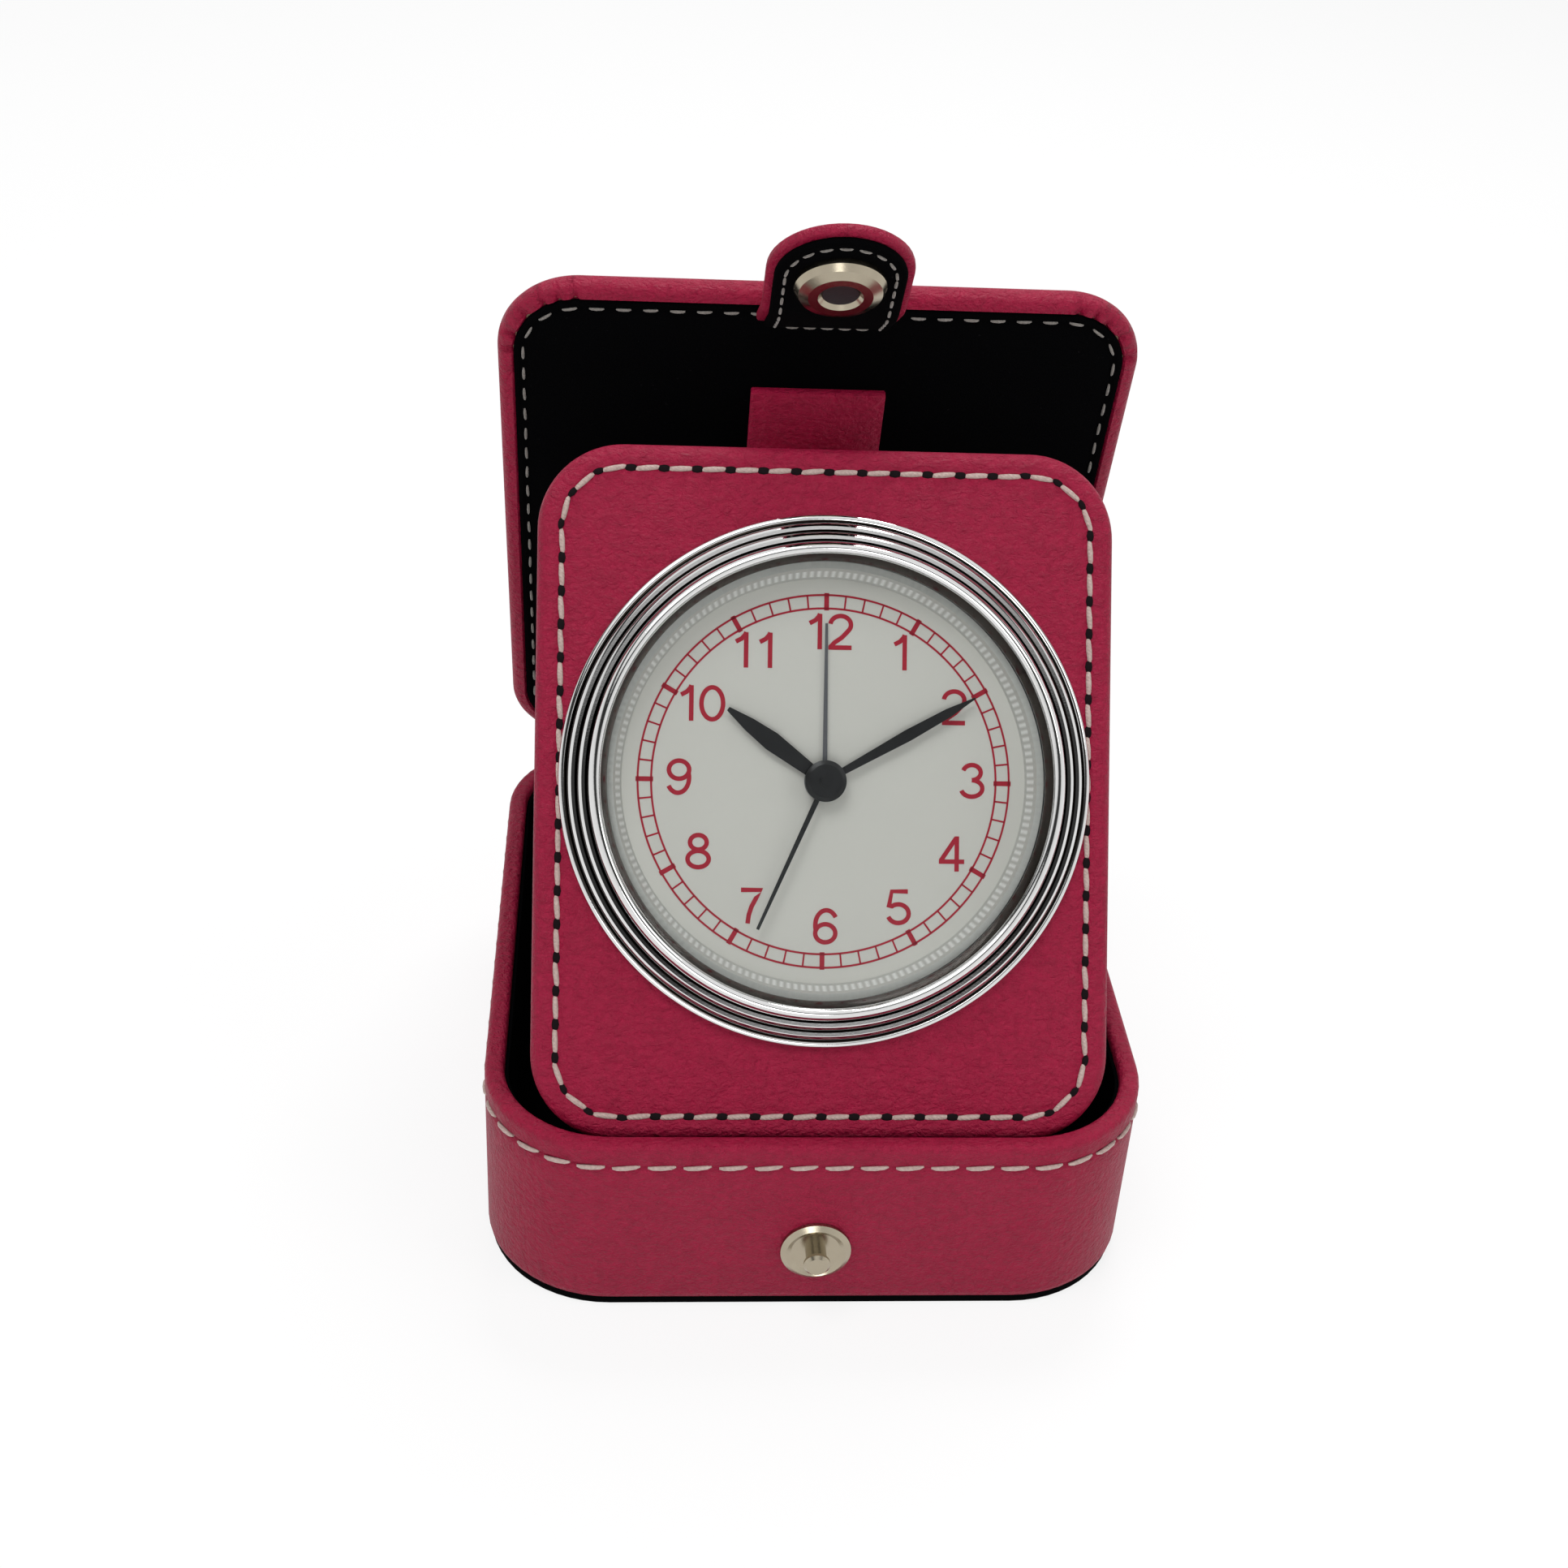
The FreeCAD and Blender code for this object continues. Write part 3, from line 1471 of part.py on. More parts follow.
def make_knobs():
    time_gear = wheel_radius(motion_module, setting_gear_teeth)
    make_knob("time_knob", knob_x, time_gear, movement_top - size.motion_wheel_level)
    alarm_gear = wheel_radius(alarm_module, alarm_gear_teeth)
    make_knob("alarm_knob", -knob_x, alarm_gear, movement_top - size.alarm_wheel_level)


make_tray()
make_lid()
make_panel()
make_strips()
make_strap()
make_tab()
make_snap()
make_case()
make_hands()
make_plate()
make_centre_wheels()
make_side_wheels()
make_electrics()
make_back()
make_knobs()

document.recompute()
os.makedirs("parts", exist_ok=True)
for thing in document.Objects:
    if "Invalid" in thing.State or "Error" in thing.State:
        raise RuntimeError("%s did not build" % thing.Label)
for name in node_names:
    piece = document.getObject(name)
    if piece.Shape.isNull() or not piece.Shape.isValid():
        raise RuntimeError("%s is not a valid solid" % name)
    piece.Shape.exportStep("parts/%s.step" % name)
    print(name, len(piece.Shape.Solids), round(piece.Shape.Volume, 2), piece.Shape.BoundBox)
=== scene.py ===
import bpy
import bmesh
import math
import random
from mathutils import Matrix, Vector


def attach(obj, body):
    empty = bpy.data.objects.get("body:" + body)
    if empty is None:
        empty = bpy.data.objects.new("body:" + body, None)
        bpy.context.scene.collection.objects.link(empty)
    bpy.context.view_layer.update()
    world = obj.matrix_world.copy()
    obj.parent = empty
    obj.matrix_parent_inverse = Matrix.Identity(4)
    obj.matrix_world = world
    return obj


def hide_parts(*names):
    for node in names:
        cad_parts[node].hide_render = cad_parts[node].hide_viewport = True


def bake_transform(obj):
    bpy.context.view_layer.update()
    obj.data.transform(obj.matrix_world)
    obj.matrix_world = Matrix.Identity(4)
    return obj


# Folding travel alarm clock in pink leather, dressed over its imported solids.
# Sizes in the dictionaries are in millimetres and degrees.

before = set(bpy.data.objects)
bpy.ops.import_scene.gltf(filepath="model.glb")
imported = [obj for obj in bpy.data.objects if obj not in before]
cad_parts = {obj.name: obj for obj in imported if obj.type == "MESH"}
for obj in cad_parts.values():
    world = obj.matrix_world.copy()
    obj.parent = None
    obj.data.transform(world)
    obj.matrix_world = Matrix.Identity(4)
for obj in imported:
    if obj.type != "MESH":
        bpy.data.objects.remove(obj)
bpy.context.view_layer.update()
mm = 0.001
dice = random.Random(7)

# Places of the leaning pieces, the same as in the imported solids
places = {
    "tray": {"y": 0.0, "z": 0.0, "tilt": 0.0},
    "lid": {"y": 46.0, "z": 26.7, "tilt": 108.0},
    "panel": {"y": -42.7, "z": 24.5, "tilt": 57.0},
    "tab": {"y": 19.310, "z": 106.351, "tilt": 153.0},
}
dialHeight = 44.0


def placeMatrix(name, up=0.0, out=0.0):
    p = places[name]
    seat = Matrix.Translation((0, p["y"] * mm, p["z"] * mm))
    turn = Matrix.Rotation(math.radians(p["tilt"]), 4, "X")
    return seat @ turn @ Matrix.Translation((0, up * mm, out * mm))


def pointAt(name, up, out):
    return placeMatrix(name) @ Vector((0, up * mm, out * mm))


panelMatrix = placeMatrix("panel")
lidMatrix = placeMatrix("lid")
tabMatrix = placeMatrix("tab")
dialMatrix = placeMatrix("panel", up=dialHeight)


# Modelling helpers

def clearSelection():
    if bpy.context.object and bpy.context.object.mode != "OBJECT":
        bpy.ops.object.mode_set(mode="OBJECT")
    bpy.ops.object.select_all(action="DESELECT")


def pickOnly(thing):
    clearSelection()
    thing.select_set(True)
    bpy.context.view_layer.objects.active = thing


def editStart(thing):
    pickOnly(thing)
    bpy.ops.object.mode_set(mode="EDIT")
    bpy.ops.mesh.select_all(action="DESELECT")


def editAll(thing):
    editStart(thing)
    bpy.ops.mesh.select_all(action="SELECT")


def editEnd():
    bpy.ops.object.mode_set(mode="OBJECT")


def pickFaces(thing, test):
    bpy.ops.mesh.select_mode(type="FACE")
    bm = bmesh.from_edit_mesh(thing.data)
    for face in bm.faces:
        face.select_set(bool(test(face.calc_center_median() / mm, face.normal)))
    bmesh.update_edit_mesh(thing.data)


def pickEdges(thing, test):
    bpy.ops.mesh.select_mode(type="EDGE")
    bm = bmesh.from_edit_mesh(thing.data)
    for edge in bm.edges:
        edge.select_set(bool(test(edge.verts[0].co / mm, edge.verts[1].co / mm)))
    bmesh.update_edit_mesh(thing.data)


def lift(height):
    bpy.ops.mesh.extrude_region_move(TRANSFORM_OT_translate={"value": (0, 0, height * mm)})


def fixNormals(thing):
    editAll(thing)
    bpy.ops.mesh.remove_doubles(threshold=0.002 * mm)
    bpy.ops.mesh.normals_make_consistent(inside=False)
    editEnd()


def smooth(thing, angle=40):
    pickOnly(thing)
    bpy.ops.object.shade_smooth_by_angle(angle=math.radians(angle))


def applyModifier(thing, kind, **settings):
    pickOnly(thing)
    modifier = thing.modifiers.new(kind.title(), kind)
    for key, value in settings.items():
        setattr(modifier, key, value)
    bpy.ops.object.modifier_apply(modifier=modifier.name)


def joinAll(things, name):
    clearSelection()
    for thing in things:
        thing.select_set(True)
    bpy.context.view_layer.objects.active = things[0]
    bpy.ops.object.join()
    whole = bpy.context.object
    whole.name = name
    whole.data.name = name
    return whole


def settle(thing, matrix):
    thing.data.transform(matrix)
    thing.matrix_world = Matrix.Identity(4)


def finishPiece(thing, body, material, nodes=()):
    thing.data.materials.clear()
    thing.data.materials.append(material)
    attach(thing, body)
    if nodes:
        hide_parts(*nodes)


def blankPiece(name):
    # a plane, whose face the caller works on or replaces
    clearSelection()
    bpy.ops.mesh.primitive_plane_add(size=1)
    thing = bpy.context.object
    thing.name = name
    thing.data.name = name
    return thing


def wirePiece(name, corners, closed=False):
    # edges through corners given in metres
    thing = blankPiece(name)
    bm = bmesh.new()
    dots = [bm.verts.new(corner) for corner in corners]
    for a, b in zip(dots, dots[1:] + (dots[:1] if closed else [])):
        bm.edges.new((a, b))
    bm.to_mesh(thing.data)
    bm.free()
    return thing


def copyTo(name, model, matrices):
    # one copy of the model at each place, joined into one piece
    copies = []
    for matrix in matrices:
        one = model.copy()
        one.data = model.data.copy()
        bpy.context.collection.objects.link(one)
        one.data.transform(matrix)
        copies.append(one)
    bpy.data.objects.remove(model)
    row = joinAll(copies, name)
    smooth(row, 60)
    return row


def roundedPlate(name, width, length, radius, low, high, middle=0.0, segments=14):
    thing = blankPiece(name)
    editAll(thing)
    bpy.ops.transform.resize(value=(width * mm, length * mm, 1))
    bpy.ops.transform.translate(value=(0, middle * mm, low * mm))
    bpy.ops.mesh.bevel(offset=radius * mm, segments=segments, affect="VERTICES")
    bpy.ops.mesh.select_all(action="SELECT")
    lift(high - low)
    editEnd()
    fixNormals(thing)
    return thing


def bevelRing(thing, level, radius, segments=5):
    # rounds every edge that lies flat at one level
    editStart(thing)
    pickEdges(thing, lambda a, b: abs(a.z - level) < 0.01 and abs(b.z - level) < 0.01)
    bpy.ops.mesh.bevel(offset=radius * mm, segments=segments, affect="EDGES", clamp_overlap=True)
    editEnd()


def insetTop(thing, level, steps):
    # steps are pairs of inset and rise, worked into the flat face at one level
    editStart(thing)
    pickFaces(thing, lambda c, n: abs(c.z - level) < 0.01 and n.z > 0.9)
    for inset, rise in steps:
        bpy.ops.mesh.inset(thickness=inset * mm, depth=0, use_even_offset=True)
        if rise:
            bpy.ops.transform.translate(value=(0, 0, rise * mm))
    editEnd()


def cutAcross(thing, place, normal, **sides):
    editAll(thing)
    bpy.ops.mesh.bisect(plane_co=place, plane_no=normal, **sides)
    editEnd()


def cutHole(thing, radius, at, low, high):
    clearSelection()
    bpy.ops.mesh.primitive_cylinder_add(
        vertices=128, radius=radius * mm, depth=(high - low) * mm,
        location=(at[0] * mm, at[1] * mm, (high + low) / 2 * mm))
    cutter = bpy.context.object
    applyModifier(thing, "BOOLEAN", operation="DIFFERENCE", object=cutter, solver="EXACT")
    bpy.data.objects.remove(cutter)


def ribbon(name, corners, bend, width, thickness, segments=8):
    # a strip through corners (y, z), rounded where it turns
    thing = wirePiece(name, [(-width / 2 * mm, y * mm, z * mm) for y, z in corners])
    editStart(thing)
    bpy.ops.mesh.select_mode(type="VERT")
    bm = bmesh.from_edit_mesh(thing.data)
    for vertex in bm.verts:
        vertex.select_set(len(vertex.link_edges) == 2)
    bmesh.update_edit_mesh(thing.data)
    bpy.ops.mesh.bevel(offset=bend * mm, segments=segments, affect="VERTICES")
    bpy.ops.mesh.select_all(action="SELECT")
    columns = 6
    for column in range(columns):
        bpy.ops.mesh.extrude_region_move(
            TRANSFORM_OT_translate={"value": (width / columns * mm, 0, 0)})
    editEnd()
    fixNormals(thing)
    applyModifier(thing, "SOLIDIFY", thickness=thickness * mm, offset=0.0)
    applyModifier(thing, "BEVEL", width=0.25 * mm, segments=2, limit_method="ANGLE")
    smooth(thing)
    return thing


def latheRing(name, outline, steps):
    # outline is (radius, level), closed, turned about Z
    thing = wirePiece(name, [(r * mm, 0, z * mm) for r, z in outline], closed=True)
    editAll(thing)
    bpy.ops.mesh.spin(steps=steps, angle=2 * math.pi, center=(0, 0, 0), axis=(0, 0, 1))
    editEnd()
    fixNormals(thing)
    return thing


# Stitch rows: stations are walked along a rounded outline

def walkRounded(width, length, radius, pitch, middle=0.0):
    # gives (x, y, heading) every pitch, anticlockwise from the middle of the lower side
    w, l = width / 2 - radius, length / 2 - radius
    quarter = math.pi / 2 * radius
    runs = [
        ("line", w, (0, -length / 2), 0), ("arc", quarter, (w, -l), -90),
        ("line", 2 * l, (width / 2, -l), 90), ("arc", quarter, (w, l), 0),
        ("line", 2 * w, (w, length / 2), 180), ("arc", quarter, (-w, l), 90),
        ("line", 2 * l, (-width / 2, l), 270), ("arc", quarter, (-w, -l), 180),
        ("line", w, (-w, -length / 2), 0),
    ]
    total = sum(run[1] for run in runs)
    count = round(total / pitch)
    stations = []
    for index in range(count):
        at = (index + 0.5) * total / count
        for kind, size, origin, angle in runs:
            if at <= size:
                break
            at -= size
        a = math.radians(angle)
        if kind == "line":
            reach, heading = at, a
        else:
            a += at / radius
            reach, heading = radius, a + math.pi / 2
        stations.append((origin[0] + reach * math.cos(a),
                         origin[1] + reach * math.sin(a) + middle, heading))
    return stations


stitchShape = {"cut": 0.34, "slim": 0.45, "dive": 0.75}
pierceShape = (1.35, 0.9, 0.35)


def makeStitch(name, length, thread):
    # one stitch: a short thread that dives into the leather at both ends
    clearSelection()
    bpy.ops.mesh.primitive_cylinder_add(vertices=8, radius=thread * mm, depth=length * mm,
                                        rotation=(0, math.pi / 2, 0))
    stitch = bpy.context.object
    stitch.name = name
    bpy.ops.object.transform_apply(location=True, rotation=True, scale=True)
    editStart(stitch)
    for side in (0, -1, 1):
        bpy.ops.mesh.select_all(action="SELECT")
        bpy.ops.mesh.bisect(plane_co=(side * length * stitchShape["cut"] * mm, 0, 0), plane_no=(1, 0, 0))
    editEnd()
    for vertex in stitch.data.vertices:
        share = abs(vertex.co.x) / (length / 2 * mm)
        slim = 1.0 - stitchShape["slim"] * share ** 3
        vertex.co.y *= slim
        vertex.co.z = vertex.co.z * slim - stitchShape["dive"] * thread * mm * share ** 4
    return stitch


def sewRow(name, stations, length, thread, matrix, level, lean=4.0):
    matrices = []
    for x, y, heading in stations:
        turn = Matrix.Rotation(heading + math.radians(lean + dice.uniform(-2.5, 2.5)), 4, "Z")
        height = level + dice.uniform(-0.03, 0.03)
        matrices.append(Matrix.Translation((x * mm, y * mm, height * mm)) @ turn)
    row = copyTo(name, makeStitch(name, length, thread), matrices)
    settle(row, matrix)
    return row


def pierceRow(name, stations, pitch, size, matrix, level):
    # painted shade: small dark marks between the stitches; the needle holes are real, their dark is
    # painted shade
    clearSelection()
    bpy.ops.mesh.primitive_uv_sphere_add(segments=8, ring_count=6, radius=size * mm)
    hole = bpy.context.object
    hole.data.transform(Matrix.Diagonal((*pierceShape, 1)))
    reach = pitch / 2 * mm
    row = copyTo(name, hole, [
        Matrix.Translation((x * mm + reach * math.cos(heading), y * mm + reach * math.sin(heading),
                            level * mm)) @ Matrix.Rotation(heading, 4, "Z")
        for x, y, heading in stations])
    settle(row, matrix)
    return row


# Shader helpers: a socket that takes part in sums

class Link:
    def __init__(self, graph, socket):
        self.graph = graph
        self.socket = socket

    def math(self, operation, other=0.0):
        return self.graph.node("Math", {"operation": operation}, {0: self, 1: other})

    def __add__(self, other):
        return self.math("ADD", other)

    def __radd__(self, other):
        return self.math("ADD", other)

    def __sub__(self, other):
        return self.math("SUBTRACT", other)

    def __mul__(self, other):
        return self.math("MULTIPLY", other)

    def above(self, other):
        return self.math("GREATER_THAN", other)

    def below(self, other):
        return self.math("LESS_THAN", other)


class Graph:
    # the nodes of a material or of the world

    inputs = {"colour": "Base Color", "roughness": "Roughness", "metallic": "Metallic",
              "normal": "Normal", "specular": "Specular IOR Level", "sheen": "Sheen Weight"}

    def __init__(self, owner):
        owner.use_nodes = True
        self.owner = owner
        self.tree = owner.node_tree
        self.tree.nodes.clear()

    def node(self, kind, settings=None, values=None, out=0):
        node = self.tree.nodes.new("ShaderNode" + kind)
        for key, value in (settings or {}).items():
            setattr(node, key, value)
        for key, value in (values or {}).items():
            if isinstance(value, Link):
                self.tree.links.new(value.socket, node.inputs[key])
            else:
                node.inputs[key].default_value = value
        return Link(self, node.outputs[out])

    def place(self, matrix=None):
        # object coordinates in millimetres, optionally in the piece's own leaning frame
        raw = self.node("TexCoord", out="Object")
        if matrix is None:
            return self.node("VectorMath", {"operation": "SCALE"}, {0: raw, "Scale": 1 / mm})
        back = matrix.inverted()
        return self.node("Mapping", {"vector_type": "POINT"}, {
            "Vector": raw, "Location": back.to_translation() / mm, "Rotation": back.to_euler(),
            "Scale": (1 / mm,) * 3})

    def split(self, vector):
        node = self.node("SeparateXYZ", None, {0: vector}).socket.node
        return [Link(self, node.outputs[k]) for k in range(3)]

    def noise(self, where, scale, detail=3.0, rough=0.5, distortion=0.0):
        return self.node("TexNoise", None, {"Vector": where, "Scale": scale, "Detail": detail,
                                            "Roughness": rough, "Distortion": distortion})

    def clamp(self, value):
        return self.node("Clamp", None, {"Value": value})

    def mix(self, share, first, second):
        colours = {key: value if isinstance(value, Link) else (*value, 1)
                   for key, value in ((6, first), (7, second))}
        return self.node("Mix", {"data_type": "RGBA"}, {0: share, **colours}, out=2)

    def bump(self, height, distance, strength, under=None):
        values = {"Height": height, "Distance": distance * mm, "Strength": strength}
        if under:
            values["Normal"] = under
        return self.node("Bump", None, values)

    def ramp(self, value, stops):
        link = self.node("ValToRGB", None, {0: value})
        elements = link.socket.node.color_ramp.elements
        for index, (position, tone) in enumerate(stops):
            stop = elements[index] if index < 2 else elements.new(position)
            stop.position = position
            stop.color = (tone, tone, tone, 1)
        return link

    def seenBy(self, first, *others):
        # 1 for each ray of the kinds named
        node = self.node("LightPath").socket.node
        seen = Link(self, node.outputs[first])
        for ray in others:
            seen = seen.math("MAXIMUM", Link(self, node.outputs[ray]))
        return seen

    def end(self, shader, kind="OutputMaterial"):
        node = self.tree.nodes.new("ShaderNode" + kind)
        self.tree.links.new(shader.socket, node.inputs["Surface"])
        return self.owner

    def surface(self, **values):
        return self.end(self.node("BsdfPrincipled", None, {
            self.inputs[key]: value for key, value in values.items()}))


def newGraph(name):
    return Graph(bpy.data.materials.new(name))


# Finishes

finishes = {
    "leather": {"colour": (0.37, 0.0055, 0.046), "dark": (0.15, 0.002, 0.017), "grain": 0.85,
                "roughness": 0.46, "drawn": (0.72, 1.15, 1.15)},
    "velour": {"colour": (0.0012, 0.0012, 0.0015), "lint": (0.012, 0.011, 0.012)},
    "pinkThread": {"colour": (0.62, 0.50, 0.45), "dark": (0.32, 0.21, 0.19)},
    "greyThread": {"colour": (0.29, 0.27, 0.245), "dark": (0.13, 0.115, 0.105)},
    "print": {"colour": (0.40, 0.010, 0.030)},
    "dial": {"colour": (0.63, 0.615, 0.57), "dark": (0.55, 0.535, 0.49)},
    "rehaut": {"colour": (0.52, 0.52, 0.49), "light": (0.84, 0.84, 0.82), "teeth": 180.0,
               "ring": 25.35, "half": 0.28},
    "crystal": {"colour": (0.97, 0.98, 0.98), "roughness": 0.03, "ior": 1.38, "share": 0.42},
}


def makeLeather(name, matrix=None, pleats=None, paintedLight=1.0):
    f = finishes["leather"]
    # paintedLight scales both tones; above 1 it gives a lit copy of the leather, which is painted light
    colour, dark = (tuple(c * paintedLight for c in f[tone]) for tone in ("colour", "dark"))
    g = newGraph(name)
    at = g.place(matrix)
    cells = g.node("TexVoronoi", {"feature": "SMOOTH_F1"}, {
        "Vector": at, "Scale": 1 / f["grain"], "Smoothness": 0.6, "Randomness": 1.0})
    fine = g.noise(at, 2.6, 4.0, 0.6)
    broad = g.noise(at, 0.05, 2.0)
    patch = g.noise(at, 0.33, 3.0, 0.6)
    drawn = g.node("Mapping", None, {"Vector": at, "Scale": f["drawn"]})
    wrinkle = g.noise(drawn, 0.9, 3.0, 0.6, 1.6)
    grain = cells * 0.5 + fine * 0.7 + wrinkle * 1.1
    normal = g.bump(broad, 1.2, 0.35)
    normal = g.bump(patch, 0.28, 0.5, normal)
    if pleats:
        normal = g.bump(pleats(g, at), 0.5, 0.9, normal)
    normal = g.bump(grain, 0.42, 0.9, normal)
    colour = g.mix(patch * 0.40, colour, dark)
    crease = g.clamp((wrinkle - 0.42) * 2.2)
    colour = g.mix(cells * 0.35 + crease * 0.30, colour, dark)
    rough = f["roughness"] + (fine - 0.5) * 0.18 + (broad - 0.5) * 0.12
    return g.surface(colour=colour, roughness=rough, normal=normal, specular=0.20)


def makeVelour(name):
    f = finishes["velour"]
    g = newGraph(name)
    at = g.place()
    pile = g.noise(at, 6.0, 2.0, 0.7)
    nap = g.noise(at, 0.09, 2.0)
    lint = g.clamp((g.noise(at, 1.4, 2.0, 0.8) - 0.70) * 8.0)
    return g.surface(colour=g.mix(lint, f["colour"], f["lint"]), roughness=0.9 + (nap - 0.5) * 0.1,
                     normal=g.bump(pile, 0.15, 0.7), specular=0.02)


def makeThread(name):
    f = finishes[name]
    g = newGraph(name)
    at = g.place()
    twist = g.node("TexWave", {"wave_type": "BANDS", "bands_direction": "DIAGONAL"},
                   {"Vector": at, "Scale": 1.1, "Distortion": 1.5, "Detail": 2.0})
    fluff = g.noise(at, 3.0, 2.0)
    return g.surface(colour=g.mix(fluff, f["colour"], f["dark"]),
                     roughness=0.75 + (fluff - 0.5) * 0.2,
                     normal=g.bump(twist, 0.08, 0.6), specular=0.2, sheen=0.3)


def shaded(colour):
    return tuple(c * 0.8 for c in colour)


def makeMetal(name, colour, roughness, wear, scale):
    g = newGraph(name)
    at = g.place()
    smear = g.noise(at, scale, 3.0, 0.6)
    scratch = g.noise(at, 4.0, 2.0, 0.7)
    return g.surface(colour=g.mix(smear * 0.25, colour, shaded(colour)), metallic=1.0,
                     roughness=roughness + (smear - 0.5) * wear,
                     normal=g.bump(scratch, 0.01, 0.25))


def makePlastic(name, colour, roughness, grain=0.05, specular=0.45):
    g = newGraph(name)
    at = g.place()
    fine = g.noise(at, 3.0, 3.0, 0.6)
    broad = g.noise(at, 0.15, 2.0)
    return g.surface(colour=g.mix(broad * 0.5, colour, shaded(colour)),
                     roughness=roughness + (broad - 0.5) * 0.08,
                     normal=g.bump(fine, grain, 0.4), specular=specular)


def makeDial(name):
    f = finishes["dial"]
    g = newGraph(name)
    at = g.place(dialMatrix)
    broad = g.noise(at, 0.06, 2.0)
    fine = g.noise(at, 5.0, 2.0)
    return g.surface(colour=g.mix(broad * 0.3, f["colour"], f["dark"]),
                     roughness=0.52 + (fine - 0.5) * 0.1,
                     normal=g.bump(fine, 0.01, 0.3), specular=0.4)


def makeRehaut(name):
    # a grey ring with fine light serrations round it
    f = finishes["rehaut"]
    g = newGraph(name)
    x, y = g.split(g.place(dialMatrix))[:2]
    angle = g.node("Math", {"operation": "ARCTAN2"}, {0: y, 1: x})
    radius = (x * x + y * y).math("SQRT")
    comb = (angle * f["teeth"]).math("SINE")
    ring = (radius - f["ring"]).math("ABSOLUTE").below(f["half"])
    light = g.clamp((comb * 0.5 + 0.5) * ring)
    return g.surface(colour=g.mix(light, f["colour"], f["light"]), roughness=0.35 + comb * 0.03,
                     normal=g.bump(comb, 0.05, 0.5), specular=0.4)


def makeCrystal(name):
    f = finishes["crystal"]
    g = newGraph(name)
    haze = g.noise(g.place(), 0.05, 2.0)
    clear = g.node("BsdfTransparent", None, {"Color": (*f["colour"], 1)})
    gloss = g.node("BsdfGlossy", None, {"Roughness": f["roughness"]})
    fresnel = g.node("Fresnel", None, {"IOR": f["ior"]})
    share = fresnel * f["share"] + haze * 0.01
    return g.end(g.node("MixShader", None, {0: share, 1: clear, 2: gloss}))


def cornerPleats(side, top, radius, reach=3.4):
    # creases gathered round the lid's two top corners, on its rolled edge only
    def pattern(g, at):
        x, y = g.split(at)[:2]
        total = None
        for sign in (1, -1):
            dx = x - sign * side
            dy = y - top
            angle = g.node("Math", {"operation": "ARCTAN2"}, {0: dy, 1: dx * sign})
            far = (dx * dx + dy * dy).math("SQRT")
            inside = (dx * sign).above(0.0) * dy.above(0.0) * far.above(radius - reach)
            waves = (angle * 13.0).math("SINE") * 0.5 + (angle * 29.0 + 1.0).math("SINE") * 0.25
            total = waves * inside if total is None else total + waves * inside
        return total
    return pattern


pinkLeather = makeLeather("pinkLeather")
panelLeather = makeLeather("panelLeather", panelMatrix)
# painted light: the strap's leather is painted 1.35 times brighter, standing in for the light the strap
# catches
strapLitLeather = makeLeather("strapLitLeather", paintedLight=1.35)
blackVelour = makeVelour("blackVelour")
pinkThread = makeThread("pinkThread")
greyThread = makeThread("greyThread")
# painted shade for the insides of the needle holes
needleHoleShade = makePlastic("needleHoleShade", (0.006, 0.003, 0.004), 0.8, 0.02, 0.1)
chrome = makeMetal("chrome", (0.74, 0.74, 0.735), 0.05, 0.03, 0.08)
# painted shade and painted reflection: a dark chrome for the bezel's groove bottoms and bore cone
paintedShadeChrome = makeMetal("paintedShadeChrome", (0.045, 0.038, 0.033), 0.14, 0.04, 0.1)
nickel = makeMetal("nickel", (0.42, 0.37, 0.28), 0.22, 0.14, 0.6)
plainSteel = makeMetal("plainSteel", (0.55, 0.56, 0.58), 0.32, 0.1, 0.4)
yellowBrass = makeMetal("yellowBrass", (0.72, 0.52, 0.22), 0.28, 0.1, 0.4)
copperWire = makeMetal("copperWire", (0.66, 0.28, 0.14), 0.34, 0.1, 0.8)
darkMagnet = makeMetal("darkMagnet", (0.16, 0.16, 0.17), 0.5, 0.1, 0.8)
blackPlastic = makePlastic("blackPlastic", (0.018, 0.018, 0.02), 0.36)
whitePlastic = makePlastic("whitePlastic", (0.62, 0.60, 0.54), 0.45)
blackRubber = makePlastic("blackRubber", (0.016, 0.016, 0.016), 0.75, 0.08, 0.2)
greenBoard = makePlastic("greenBoard", (0.02, 0.14, 0.055), 0.4)
pressedCard = makePlastic("pressedCard", (0.32, 0.24, 0.16), 0.85, 0.12, 0.15)
blackPaint = makePlastic("blackPaint", (0.006, 0.006, 0.007), 0.30, 0.01)
greyPaint = makePlastic("greyPaint", (0.10, 0.10, 0.11), 0.35, 0.01)
redPrint = makePlastic("redPrint", finishes["print"]["colour"], 0.5, 0.01, 0.3)
dialPaint = makeDial("dialPaint")
rehautPlastic = makeRehaut("rehautPlastic")
crystal = makeCrystal("crystal")
print("finishes made")

